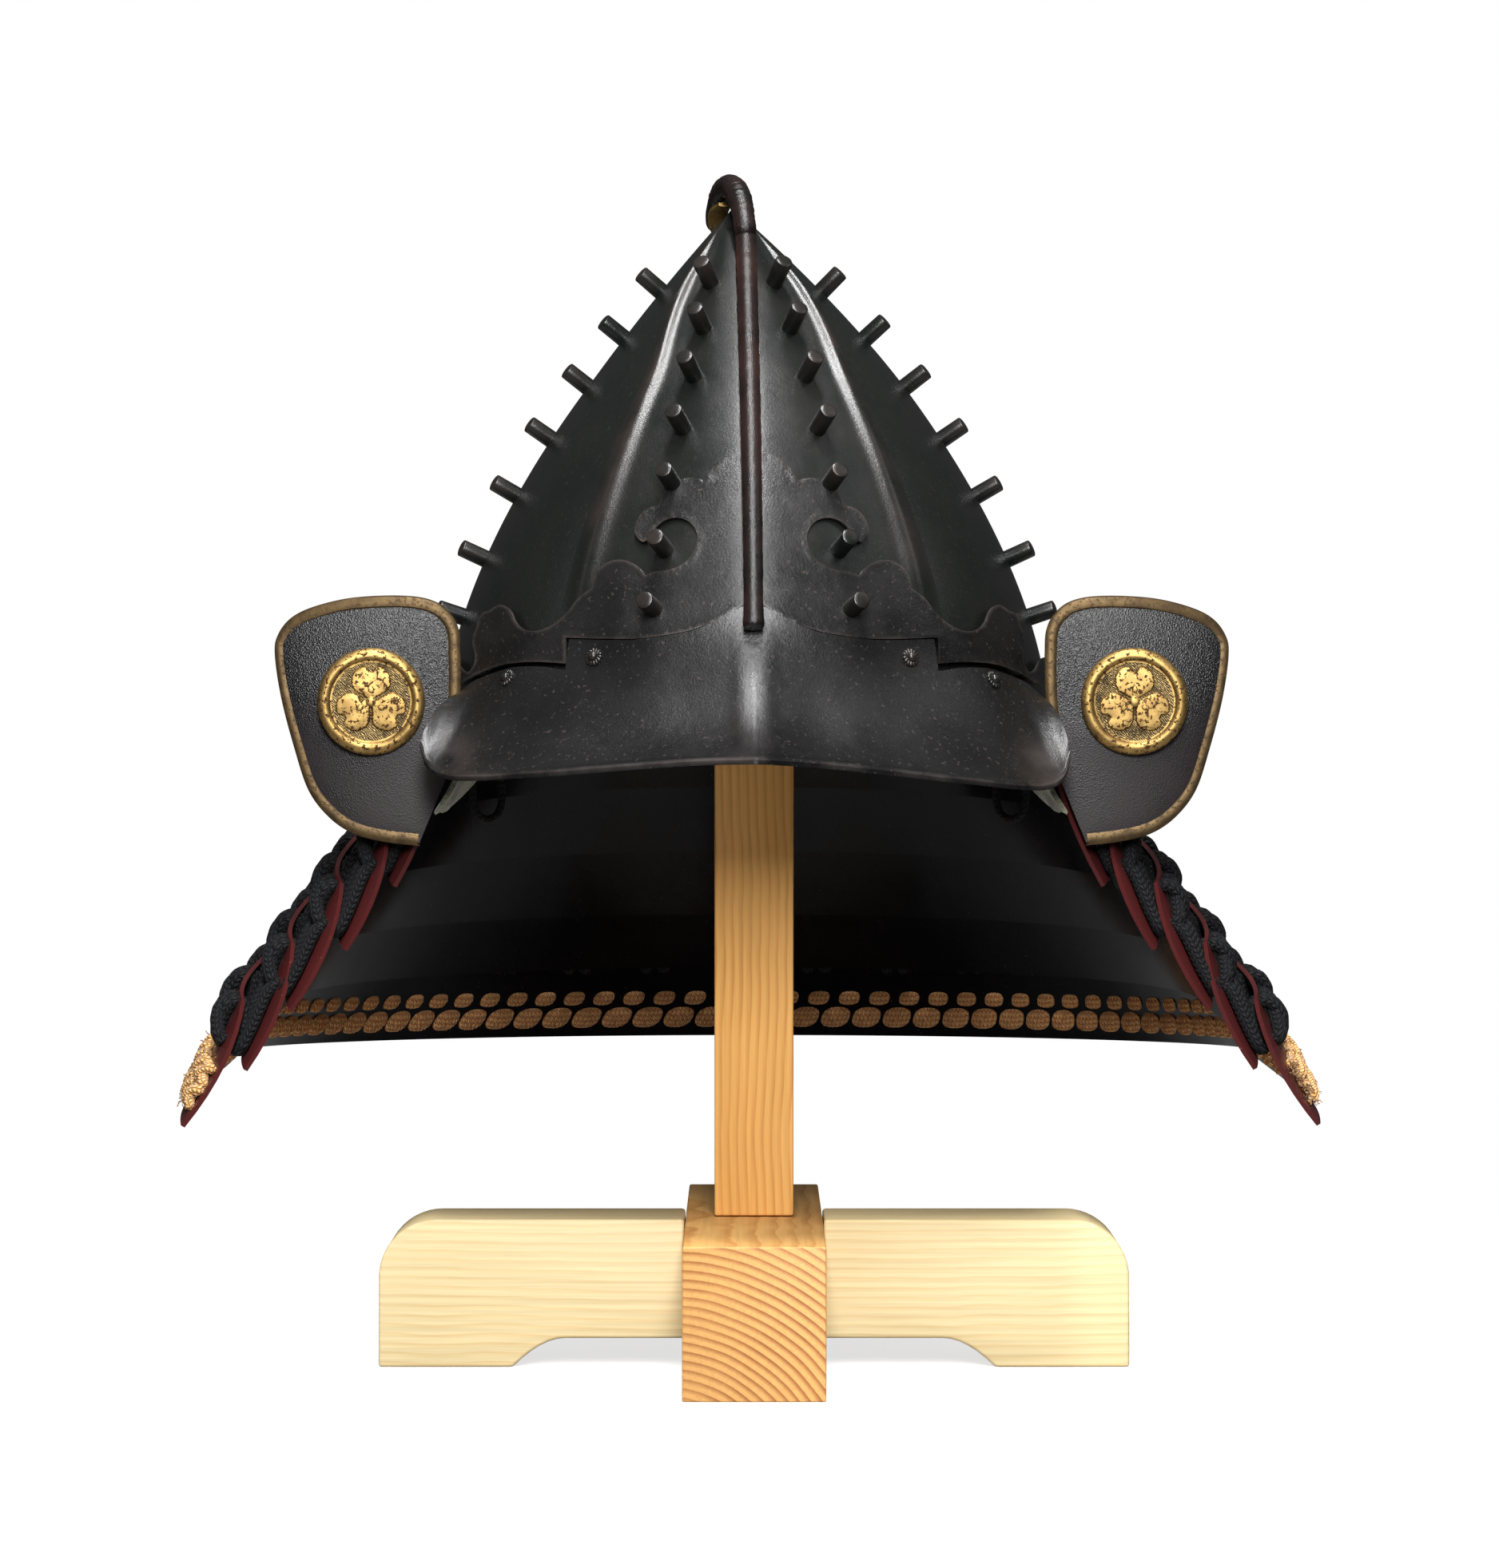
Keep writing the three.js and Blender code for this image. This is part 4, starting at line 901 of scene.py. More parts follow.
gilt = gilded("old gilding", (0.40, 0.265, 0.092, 1), (0.25, 0.155, 0.054, 1),
              (0.08, 0.040, 0.02, 1), 0.95)
dull_brass = gilded("dull brass", (0.105, 0.067, 0.027, 1), (0.062, 0.038, 0.016, 1),
                    (0.06, 0.038, 0.02, 1), 0.5, 0.75)
lining_path = curve_through(LINING, 0.5)
lining_outer, lining_inner = [], []
lining_way = np.gradient(lining_path, axis=0)
for centre, way, share in zip(lining_path, lining_way, np.linspace(0, 1, len(lining_path))):
    inwards = np.array([0, way[2], -way[1]]) / np.linalg.norm(way[1:])
    half = LINING_HALF_WIDTH * math.sqrt(max(0.05, 1 - (2 * share - 0.9) ** 2 * 0.8))
    across = np.linspace(-1, 1, 9)[:, None]
    row = centre + across * (half, 0, 0)
    lining_outer.append(row + inwards * (LINING_THICKNESS + LINING_SWELL * (1 - across ** 2)))
    lining_inner.append(row)
lining = sheet("crest_leaf", np.array(lining_outer), np.array(lining_inner), [gilt])
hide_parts("crest_lining")
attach(lining, "root")

# ---------------------------------------------------------------- brow plate
# A thin iron plate cut into a cloud outline lies over the foot of the bowl, its edge raised
# into a fine lip; the peak and the ridge rod hold it down.
BROW_THICKNESS, BROW_LIFT, BROW_RIB_LIFT = 0.9, 2.4, 3.6
BROW_OUTLINE = [  # right half, from the middle of the top round to the middle of the foot
    (0, 342.8), (4.8, 342.2), (8.6, 340.8), (12, 338.5), (14.7, 335.5), (16.7, 332.1),
    (18.6, 332.7), (21.7, 333.1), (25.5, 332.5), (28.6, 330.9), (31.2, 328.3), (32.7, 325.3),
    (33.6, 322.9), (35.9, 322.3), (38.4, 320.7), (40.2, 318.4), (41.4, 315.6), (41.7, 313),
    (40.7, 310.8), (39.1, 309.5), (37.5, 310.4), (36, 312.9), (33.9, 315.5), (31.1, 317.5),
    (27.7, 318.4), (24.3, 317.8), (21.5, 315.9), (19.8, 313.1), (19.4, 310), (20.4, 306.6),
    (22.7, 303.2), (25.9, 300.8), (29.6, 299.4), (33.3, 298.8), (35.8, 298.5), (38.1, 297.3),
    (39.5, 299.3), (42, 301.3), (45.5, 302.6), (49, 302.5), (52.4, 301.1), (54.9, 298.8),
    (56.3, 295.8), (56.8, 292.4), (59.2, 290.8), (62, 288.4), (64.5, 285.2), (67.3, 282),
    (70.6, 279.4), (74.6, 277.5), (78.2, 277), (81.9, 278.1), (84.4, 280.6), (85.7, 283.6),
    (87.3, 285.8), (89.8, 286.8), (92, 286), (94, 284.7), (96.1, 284.1), (97.8, 281.7),
    (98.7, 278.6), (99.9, 275.6), (100.1, 272.2), (99.2, 268.9), (99.4, 265.4), (101.2, 262.4),
    (103, 262.6), (104.6, 263.8), (106.2, 266.4), (108.4, 267.8), (110.6, 267), (111.6, 263.6),
    (110.2, 259.6), (105.4, 258), (100, 260.7), (96.3, 262.4), (90, 264.6), (84, 265.6),
    (76, 265.9), (66.3, 265.3), (66.3, 274.6), (56, 274.2), (44.7, 274.2), (33.9, 275.2),
    (21.6, 277.5), (12.4, 281.3), (7.9, 283.6), (4.1, 286), (0, 288.2),
]
BROW_CORNERS = (5, 12, 35, 43, 65, 79, 80)
LIP_WIDTH, LIP_HEIGHT = 0.6, 0.22
BROW_BOSSES = [(-94.9, 273.5), (96.2, 269.6)]
BOSS_HALF_WIDTH, BOSS_HALF_HEIGHT, BOSS_LIFT = 2.4, 3.6, 0.8


def curve_round(points, per, corners=()):
    """A closed smooth outline through 2-D points, sharp at the numbered ones."""
    points = np.asarray(points, float)
    count = len(points)
    outline = []
    for i in range(count):
        a, b, c, d = (points[(i + k) % count] for k in (-1, 0, 1, 2))
        if i in corners:
            a = 2 * b - c
        if (i + 1) % count in corners:
            d = 2 * c - b
        for t in np.arange(per) / per:
            outline.append(spline(a, b, c, d, t))
    return np.array(outline)


def edge_distance(points, outline):
    """Each point's distance to a closed outline."""
    best = np.full(len(points), np.inf)
    for a, b in zip(outline, np.roll(outline, -1, axis=0)):
        way = b - a
        share = np.clip(((points - a) @ way) / max(way @ way, 1e-12), 0, 1)
        gap = np.linalg.norm(points - (a + share[:, None] * way), axis=1)
        best = np.minimum(best, gap)
    return best


def inside(points, outline):
    """Whether each point lies inside a closed outline."""
    x, y = points[:, 0], points[:, 1]
    hit = np.zeros(len(points), bool)
    for (ax, ay), (bx, by) in zip(outline, np.roll(outline, -1, axis=0)):
        crossing = (ay > y) != (by > y)
        if by != ay:
            hit ^= crossing & (x < (bx - ax) * (y - ay) / (by - ay) + ax)
    return hit


def filled(outline, fine, coarse, near):
    """Triangles filling an outline, smaller near its edge: 2-D points, triangles, edge loop."""
    low, high = outline.min(axis=0), outline.max(axis=0)
    clouds = []
    for step, inner, outer in ((fine, fine * 0.6, near), (coarse, near, 1e9)):
        grid_x = np.arange(low[0], high[0], step)
        grid_y = np.arange(low[1], high[1], step * 0.87)
        shift = (np.arange(len(grid_y)) % 2) * step / 2
        cloud = np.array([(x + s, y) for y, s in zip(grid_y, shift) for x in grid_x])
        cloud = cloud[inside(cloud, outline)]
        gap = edge_distance(cloud, outline)
        clouds.append(cloud[(gap > inner) & (gap <= outer)])
    points = np.vstack([outline] + clouds)
    ring = list(range(len(outline)))
    edges = list(zip(ring, ring[1:] + ring[:1]))
    made = delaunay_2d_cdt([Vector(p) for p in points], edges, [], 1, 1e-5)
    return np.array([tuple(p) for p in made[0]]), [tuple(f) for f in made[2]]


def rim_edges(triangles):
    """The directed edges that only one triangle has."""
    used = dict.fromkeys((a, b) for tri in triangles for a, b in zip(tri, tri[1:] + tri[:1]))
    return [(a, b) for a, b in used if (b, a) not in used]


def plate_between(name, triangles, front, back, material):
    """A closed plate whose front and back faces share one triangulation."""
    count = len(front)
    faces = [tuple(tri) for tri in triangles]
    faces += [tuple(count + i for i in reversed(tri)) for tri in triangles]
    faces += [(b, a, count + a, count + b) for a, b in rim_edges(triangles)]
    made = add_mesh(name, placed(np.concatenate([front, back])), faces, [material])
    face_up(made)
    return made


def on_bowl(flat, lift):
    """Points seen from the front at (x, z) laid on the bowl's skin and lifted off it."""
    x, z = flat[:, 0], flat[:, 1]
    reach = HALF_WIDTH * (1 - closing(z, FRONT_POWER, APEX_Z))
    angle = np.degrees(np.arcsin(np.clip((x - apex_lean(z)) / reach, -0.995, 0.995)))
    return on_skin(angle, z, lift), angle


right_half = np.array(BROW_OUTLINE, float)
left_half = right_half[1:-1][::-1] * (-1, 1)
full_outline = np.vstack([right_half, left_half])
mirror_corners = [len(right_half) + (len(right_half) - 2 - c) for c in BROW_CORNERS]
brow_edge = curve_round(full_outline, 3, set(BROW_CORNERS) | set(mirror_corners))
brow_flat, brow_triangles = filled(brow_edge, 1.0, 3.2, 2.2)
brow_gap = edge_distance(brow_flat, brow_edge)
brow_lip = LIP_HEIGHT * bump_at(brow_gap, LIP_WIDTH, 0.7 * LIP_WIDTH)
brow_angle = on_bowl(brow_flat, 0 * brow_gap)[1]
brow_lift = BROW_LIFT + (BROW_RIB_LIFT - BROW_LIFT) * smoothstep(np.abs(brow_angle), 20, 30)
for boss_x, boss_z in BROW_BOSSES:
    boss_reach = np.hypot((brow_flat[:, 0] - boss_x) / BOSS_HALF_WIDTH,
                          (brow_flat[:, 1] - boss_z) / BOSS_HALF_HEIGHT)
    brow_lip += BOSS_LIFT * (1 - smoothstep(boss_reach, 0.7, 1.1))
brow_front, _ = on_bowl(brow_flat, brow_lift + brow_lip)
brow_back, _ = on_bowl(brow_flat, brow_lift - BROW_THICKNESS)
brow_plate = plate_between("brow_plate_cloud", brow_triangles, brow_front, brow_back,
                           speckled_iron)
brow_wear = 0.1 + 0.8 * bump_at(brow_gap, 0, 0.6)
set_wear(brow_plate, np.concatenate([brow_wear, brow_wear]))
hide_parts("brow_plate")
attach(brow_plate, "root")

# ---------------------------------------------------------------- peak
# One hammered iron plate springs from the brow, stepped where it clears the cloud plate,
# hollow towards its middle and rolled along its lower edge; four flower washers fix it.
VISOR_THICKNESS, VISOR_LIFT = 2.0, 1.2
VISOR_SECTIONS = np.array([  # s, angle, z at the bowl, rim x, y, z, hollow, edge cut down
    (0, 0, 287.0, 0, -160, 231.4, 9, 0), (0.03, 2.2, 285.4, 4.8, -158.6, 231.3, 8.6, 0),
    (0.06, 4.4, 283, 9.5, -156.0, 231.1, 8.2, 0), (0.10, 6.8, 280.7, 16, -153.0, 230.8, 7.6, 0),
    (0.16, 11.3, 277, 25, -149.8, 230.2, 7, 0), (0.26, 18, 274.7, 40.5, -144.9, 228.8, 6.5, 0),
    (0.34, 24.4, 273.7, 53, -141.0, 227.6, 6.5, 0), (0.462, 36, 274.1, 70, -135.8, 225.8, 6.5, 0),
    (0.472, 36.6, 274.1, 71.2, -135.4, 225.7, 6.5, 0.19),
    (0.56, 41.2, 273.5, 82, -130.6, 224.8, 6, 0.164),
    (0.70, 48, 271.5, 97, -121, 223.4, 4.5, 0.135),
    (0.80, 53, 268, 106, -112, 223.1, 3, 0.115), (0.88, 57, 264, 112.5, -104, 224.2, 1, 0.085),
    (0.94, 60.5, 260.5, 117, -98, 227.5, -2.5, 0.06), (1, 65, 255.5, 119.5, -91.5, 234.5, -7, 0),
])
VISOR_TILT, VISOR_SHIFT = 0.017, 2.2
RIM_ROLL, RIM_ROLL_AT, RIM_ROLL_SPREAD = 0.35, 0.975, 0.016
VISOR_INNER_WEAR = 0.03


def smooth_read(table, column, at):
    """A column read at keys in the table's first column by a smooth, never overshooting curve."""
    keys, values = table[:, 0], table[:, column]
    span = np.diff(keys)
    slope = np.diff(values) / span
    steep = np.zeros(len(keys))
    same = slope[:-1] * slope[1:] > 0
    mean = 2 * slope[:-1] * slope[1:] / np.where(same, slope[:-1] + slope[1:], 1)
    steep[1:-1] = np.where(same, mean, 0)
    steep[-1] = slope[-1]
    i = np.clip(np.searchsorted(keys, at, side="right") - 1, 0, len(span) - 1)
    t = (at - keys[i]) / span[i]
    return (values[i] * (1 + 2 * t) * (1 - t) ** 2 + steep[i] * span[i] * t * (1 - t) ** 2
            + values[i + 1] * t * t * (3 - 2 * t) - steep[i + 1] * span[i] * t * t * (1 - t))


def visor_surface(s, v, depth):
    at = np.abs(s)
    side = np.where(s < 0, -1.0, 1.0)
    angle, z, x, y, low, flare, cut = (smooth_read(VISOR_SECTIONS, c, at) for c in range(1, 8))
    v = cut + (1 - cut) * v
    root = on_skin(angle, z, VISOR_LIFT + VISOR_THICKNESS - depth)
    rim = np.stack([x, y, low], axis=-1)
    out = rim - root
    out[..., 2] = 0
    out /= np.linalg.norm(out, axis=-1, keepdims=True)
    point = root + (rim - root) * v[..., None]
    down = -flare * 4 * v * (1 - v)
    point += out * (down * 0.8)[..., None]
    point[..., 2] += down * 0.5 - depth * v
    point[..., 0] *= side
    point[..., 2] -= VISOR_TILT * point[..., 0] * v
    point[..., 0] -= VISOR_SHIFT * v * smoothstep(np.abs(s), 0.4, 1)
    return point


visor_s = np.concatenate([np.linspace(0, 0.455, 44), [0.462, 0.467, 0.472, 0.48],
                          np.linspace(0.49, 0.985, 46), [0.992, 0.997, 1.0]])
visor_s = np.concatenate([-visor_s[:0:-1], visor_s])
visor_v = np.concatenate([np.linspace(0, 0.93, 34), [0.945, 0.96, 0.972, 0.982, 0.992, 1.0]])
grid_s, grid_v = np.meshgrid(visor_s, visor_v)
visor_roll = RIM_ROLL * bump_at(grid_v, RIM_ROLL_AT, RIM_ROLL_SPREAD)
visor_outer = visor_surface(grid_s, grid_v, -visor_roll)
visor_inner = visor_surface(grid_s, grid_v, VISOR_THICKNESS - 0.4 + 0 * grid_v)
visor = sheet("peak", visor_outer, visor_inner, [speckled_iron])
# Rubbed along the rolled rim and at both outer corners; the lighter strip down the middle of the
# lower half is a painted highlight on the keel.
visor_wear_and_keel_highlight = np.clip(
    0.04 + 0.7 * smoothstep(grid_v, 0.975, 0.99) + smoothstep(grid_v, 0.45, 0.85)
    * (0.35 * bump_at(grid_s, 0, 0.06) + 0.6 * bump_at(np.abs(grid_s), 0.86, 0.09)), 0, 1)
set_wear(visor, np.concatenate([visor_wear_and_keel_highlight, VISOR_INNER_WEAR + 0 * visor_wear_and_keel_highlight]))
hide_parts("visor")
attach(visor, "root")

FLOWER_RADIUS, FLOWER_PETALS, FLOWER_PROUD = 3.5, 14, 0.35
PETAL_NOTCH, PETAL_DROP = 0.10, 0.26
FLOWER_PLACES = [(0.40, 0.11), (0.735, 0.085)]
FLOWER_PROFILE = [  # radius, height
    (0, -0.8), (3.5, -0.8), (3.5, 0.25), (3.35, 0.5), (2.9, 0.75), (2.3, 0.85), (1.95, 0.8),
    (1.85, 1.15), (1.6, 1.7), (1.1, 2.1), (0.5, 2.3), (0, 2.35),
]
flower_points, flower_faces = lathe(FLOWER_PROFILE, FLOWER_PETALS * 6)
flower_points = np.array(flower_points)
flower_turn = np.arctan2(flower_points[:, 1], flower_points[:, 0])
flower_reach = np.hypot(flower_points[:, 0], flower_points[:, 1]) / FLOWER_RADIUS
petal = (flower_reach > 0.6) * (0.5 - 0.5 * np.cos(FLOWER_PETALS * flower_turn)) ** 3
flower_points[:, :2] *= (1 - PETAL_NOTCH * petal * (flower_reach > 0.9))[:, None]
flower_points[:, 2] -= PETAL_DROP * petal * (flower_points[:, 2] > 0)
flower = add_mesh("flower", flower_points / 1000, flower_faces, [black_iron])
face_up(flower)
set_wear(flower, 0.15 + 0.5 * (1 - petal))
flower_sites = []
for s, v in FLOWER_PLACES:
    for side in (-1, 1):
        here, beside, below = (
            visor_surface(np.array([side * s + ds]), np.array([v + dv]), np.zeros(1))[0]
            for ds, dv in ((0, 0), (0.01, 0), (0, 0.01)))
        out = np.cross(below - here, beside - here)
        out *= np.sign(-out[1]) / np.linalg.norm(out)
        flower_sites.append((placed(here + FLOWER_PROUD * out), turned_directions(out), UP,
                             (1, 1, 1)))
flowers = scatter("flower_washers", flower, flower_sites, black_iron)
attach(flowers, "root")

# ---------------------------------------------------------------- turn-backs
# The ends of the top lame turn back beside the peak: iron faced with printed leather, bound
# in a brass channel, with a gilt three-leaf roundel on each.
TURNBACK_SHIFT, TURNBACK_Y, TURNBACK_BEND = 1.3, -60.0, 7.0
BEND_FROM, BEND_OVER = 125.0, 50.0
TURNBACK_THICKNESS, RIM_WIDTH, RIM_DEPTH, RIM_END, RIM_STEP = 2.4, 4.5, 4.4, 0.865, 0.8
PILLOW = 0.35
PEBBLED_ABOVE, SMOOTH_BELOW = 0.262, 0.222  # metres above the floor
CURL_FROM, CURL = 236.0, 0.0053
TURNBACK_OUTLINE = [
    (124, 198.2), (138, 199.9), (149, 202.9), (158, 209), (165.6, 219), (171, 235), (176, 254),
    (178.4, 270), (177.2, 277), (172.6, 283), (165, 287), (152.3, 290.3), (138.7, 291.5),
    (126, 291.2), (118, 289.1), (113, 285.2), (110, 280.2), (108.9, 273), (109, 251),
    (112.5, 228), (117.5, 214), (124, 198.2),
]


def turnback_y(x):
    return TURNBACK_Y + TURNBACK_BEND * (np.maximum(0, x - BEND_FROM) / BEND_OVER) ** 2


def leather():
    """Black leather: a fine pebble above, smoother and browner towards the foot."""
    material, tree, shader = new_material("printed leather")
    place = own_place(tree)
    height = node(tree, "ShaderNodeSeparateXYZ", {"Vector": place}).outputs["Z"]
    pebble = node(tree, "ShaderNodeTexVoronoi", {"Vector": place, "Scale": 1700.0})
    fall = ranged(tree, height, PEBBLED_ABOVE, SMOOTH_BELOW, smooth=True)
    lower = reckoned(tree, "MULTIPLY", fall, noise(tree, place, 60.0, 4.0))
    foot_share = reckoned(tree, "MULTIPLY", lower, 1.9, clamped=True)
    grain = reckoned(tree, "ADD", pebble.outputs["Distance"], noise(tree, place, 2200.0))
    feed(tree, shader, {
        "Base Color": mixed(tree, foot_share, (0.004, 0.0038, 0.0042, 1),
                            (0.0085, 0.0042, 0.0050, 1)),
        "Roughness": ranged(tree, foot_share, 0, 1, 0.30, 0.50),
        "Normal": bumped(tree, grain, ranged(tree, foot_share, 0, 1, 0.55, 0.18), 0.0003),
        "Specular IOR Level": 0.5,
    })
    return material


def mirrored(points, side):
    """Points of the right turn-back, leaning back towards its top, moved to either side."""
    points = np.array(points, float)
    points[..., 0] = TURNBACK_SHIFT + side * points[..., 0]
    points[..., 1] += CURL / 2 * np.maximum(0, points[..., 2] - CURL_FROM) ** 2
    return points


turnback_leather = leather()
turnback_curve = curve_through(TURNBACK_OUTLINE, RIM_STEP)[:-1]
turnback_way = np.gradient(np.vstack([turnback_curve[-1:], turnback_curve, turnback_curve[:1]]),
                           axis=0)[1:-1]
turnback_way /= np.linalg.norm(turnback_way, axis=1, keepdims=True)
turnback_in = np.stack([-turnback_way[:, 1], turnback_way[:, 0]], axis=-1)
rim_count = int(len(turnback_curve) * RIM_END)
drawn_in = np.where(np.arange(len(turnback_curve)) < rim_count, RIM_WIDTH * 0.72, 0.6)
leather_edge = (turnback_curve + turnback_in * drawn_in[:, None])[::2]
leather_flat, leather_triangles = filled(leather_edge, 1.6, 3.2, 2.4)
leather_gap = edge_distance(leather_flat, leather_edge)
pillow = PILLOW * (1 - np.exp(-leather_gap / 3))

# The channel's section: across the plate (0 outside, 1 inside) and through it (-1 front).
HALF_SECTION = [(0.02, 0.62), (0.16, 0.9), (0.42, 1.0), (0.70, 0.98), (0.90, 0.86), (1.0, 0.62)]
RIM_SECTION = [(0.0, 0.0), *((across, -through) for across, through in HALF_SECTION),
               *reversed(HALF_SECTION)]

for side_name, side in SIDES:
    flat_y = turnback_y(leather_flat[:, 0])
    half = TURNBACK_THICKNESS / 2
    front = np.stack([leather_flat[:, 0], flat_y - half - pillow, leather_flat[:, 1]], axis=-1)
    back = np.stack([leather_flat[:, 0], flat_y + half, leather_flat[:, 1]], axis=-1)
    plate = plate_between(f"turnback_leather_{side_name}", leather_triangles,
                          mirrored(front, side), mirrored(back, side), turnback_leather)
    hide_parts(f"turnback_{side_name}")
    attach(plate, "root")

    rim_rings = []
    for at, inwards in zip(turnback_curve[:rim_count], turnback_in):
        spots = [(at + inwards * RIM_WIDTH * across, through) for across, through in RIM_SECTION]
        rim_rings.append([(x, turnback_y(at[0]) + through * RIM_DEPTH / 2, z)
                          for (x, z), through in spots])
    rim = tube_mesh(f"turnback_rim_{side_name}", [mirrored(rim_rings, side)], dull_brass,
                    RIM_STEP)
    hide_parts(f"turnback_rim_{side_name}")
    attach(rim, "root")

# The roundel is a domed, turned rim round a sunk field, chased with three heart leaves.
ROUNDEL_X, ROUNDEL_Z = 142.0, 252.0
ROUNDEL_PROFILE = [  # radius, height above the leather
    (0, 0), (19.6, 0), (20.0, 0.5), (20.0, 1.2), (19.7, 2.0), (19.0, 2.75), (18.1, 3.2),
    (17.2, 3.35), (16.4, 3.2), (15.8, 2.8), (15.4, 2.2), (15.2, 1.9), (14.6, 1.8), (0, 1.8),
]
LEAF_OUTLINE = [  # a wide heart whose point is at the middle
    (0, 0.4), (2.0, 1.25), (4.2, 2.55), (6.2, 3.9), (7.4, 5.6), (7.6, 7.8), (7.0, 10.3),
    (5.4, 12.3), (3.3, 13.2), (1.5, 12.9), (0.35, 11.5), (-0.35, 11.5), (-1.5, 12.9),
    (-3.3, 13.2), (-5.4, 12.3), (-7.0, 10.3), (-7.6, 7.8), (-7.4, 5.6), (-6.2, 3.9),
    (-4.2, 2.55), (-2.0, 1.25),
]
BUD_OUTLINE = [(0, 2.6), (1.5, 3.9), (1.1, 6.0), (-1.1, 6.0), (-1.5, 3.9)]
LEAF_HEIGHT, LEAF_DOME, BUD_HEIGHT, BUD_DOME = 0.7, 0.12, 0.8, 0.15
FIELD_HEIGHT, BUD_FOOT, SUNK_HEIGHT = 1.8, 2.3, 1.2
BOSS_RADIUS, BOSS_HEIGHT = 1.9, 1.3
ROUNDEL_SIDES = 96


def field_material():
    """The sunk field: hatched gilding gone dark in the cuts."""
    material, tree, shader = new_material("hatched gilding")
    place = own_place(tree)
    hatch = node(tree, "ShaderNodeTexVoronoi", {"Vector": place, "Scale": 620.0},
                 feature="DISTANCE_TO_EDGE")
    lines = node(tree, "ShaderNodeTexWave", {"Vector": place, "Scale": 640.0, "Distortion": 6.0,
                                             "Detail": 1.0}, bands_direction="DIAGONAL")
    cut = reckoned(tree, "MULTIPLY", lines.outputs["Fac"], noise(tree, place, 190.0))
    cut_mask = ranged(tree, cut, 0.14, 0.36)
    depth = reckoned(tree, "ADD", cut_mask, hatch.outputs["Distance"])
    feed(tree, shader, {
        "Base Color": mixed(tree, cut_mask, (0.030, 0.020, 0.012, 1), (0.30, 0.21, 0.085, 1)),
        "Metallic": 0.85, "Roughness": 0.5, "Normal": bumped(tree, depth, 0.7, 0.0004),
    })
    return material


hatched = field_material()


def raised_shape(outline, base, height, dome):
    """A raised, softly domed shape on the roundel: its plan, triangles and heights."""
    edge = curve_round(outline, 5)
    flat, triangles = filled(edge, 0.7, 0.9, 1.2)
    gap = edge_distance(flat, edge)
    top = base + height * (1 - np.exp(-gap / 0.28)) + dome * np.minimum(gap / 2.6, 1) ** 1.5
    return flat, triangles, np.where(gap < 1e-6, base - 0.3, top)


roundel_points, roundel_faces = lathe(ROUNDEL_PROFILE, ROUNDEL_SIDES)
field_first = ROUNDEL_SIDES * (len(ROUNDEL_PROFILE) - 3)
roundel_slots = [int(min(f) >= field_first) for f in roundel_faces]
for index in range(3):
    turn = 2 * math.pi * index / 3
    c, s = math.cos(turn), math.sin(turn)
    for shape in ((LEAF_OUTLINE, FIELD_HEIGHT, LEAF_HEIGHT, LEAF_DOME),
                  (BUD_OUTLINE, BUD_FOOT, BUD_HEIGHT, BUD_DOME)):
        flat, triangles, top = raised_shape(*shape)
        flat = flat @ np.array([[c, s], [-s, c]])
        start, count = len(roundel_points), len(flat)
        roundel_points.extend((x, z, h) for (x, z), h in zip(flat, top))
        roundel_points.extend((x, z, SUNK_HEIGHT) for x, z in flat)
        added = [tuple(start + i for i in tri) for tri in triangles]
        added += [tuple(start + count + i for i in reversed(tri)) for tri in triangles]
        added += [(start + b, start + a, start + count + a, start + count + b)
                  for a, b in rim_edges(triangles)]
        roundel_faces.extend(added)
        roundel_slots.extend([0] * len(added))
boss_points, boss_faces = lathe(
    [(0, 1.0), (BOSS_RADIUS, 1.0)]
    + [(BOSS_RADIUS * share, FIELD_HEIGHT + BOSS_HEIGHT * rise)
       for share, rise in ((1, 0.7), (0.8, 0.93), (0.4, 1), (0, 1.02))], 28)
first = len(roundel_points)
roundel_points.extend(boss_points)
roundel_faces.extend(tuple(first + i for i in f) for f in boss_faces)
roundel_slots.extend([0] * len(boss_faces))
roundel_array = np.array(roundel_points)

for side_name, side in SIDES:
    base_y = TURNBACK_Y - TURNBACK_THICKNESS / 2 - PILLOW
    seated = np.stack([side * roundel_array[:, 0] + ROUNDEL_X, base_y - roundel_array[:, 2],
                       roundel_array[:, 1] + ROUNDEL_Z], axis=-1)
    disc = add_mesh(f"crest_roundel_{side_name}", placed(mirrored(seated, side)),
                    roundel_faces, [gilt, hatched])
    disc.data.polygons.foreach_set("material_index", roundel_slots)
    face_up(disc)
    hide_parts(f"roundel_{side_name}")
    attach(disc, "root")

# ---------------------------------------------------------------- neck guard
# Five curved iron lames widen downwards, each outside the one above; they are lacquered
# glossy black within and dark red outside, and each ends in a pointed, inturned tip.
SIDE_Y, TIP_SHARE, TIP_SWELL, TIP_BOW, LAME_THICKNESS = 20.0, 0.34, 5.0, 4.0, 1.6
LAMES = [  # tip x, y, z, side x, z, back y, z; then the same for the upper edge
    (131.4, -56, 182.7, 126, 205, 148, 216.8, 110, -47, 248, 118.5, 254, 132.5, 257),
    (149.2, -70, 159.5, 142, 181, 162, 190.3, 134, -50, 206, 127.5, 229, 149.5, 238),
    (169.1, -78, 137.5, 159, 158, 176.5, 164, 151, -56, 184, 143.5, 206, 163, 212),
    (185.4, -85, 116, 175, 137, 191, 141.7, 169, -62, 162, 158.5, 185, 176, 189),
    (207.8, -95, 96, 193, 118, 211, 112.5, 187, -70, 141, 174, 163, 192.5, 160),
]
LAME_COLUMNS, LAME_ROWS = 181, 9


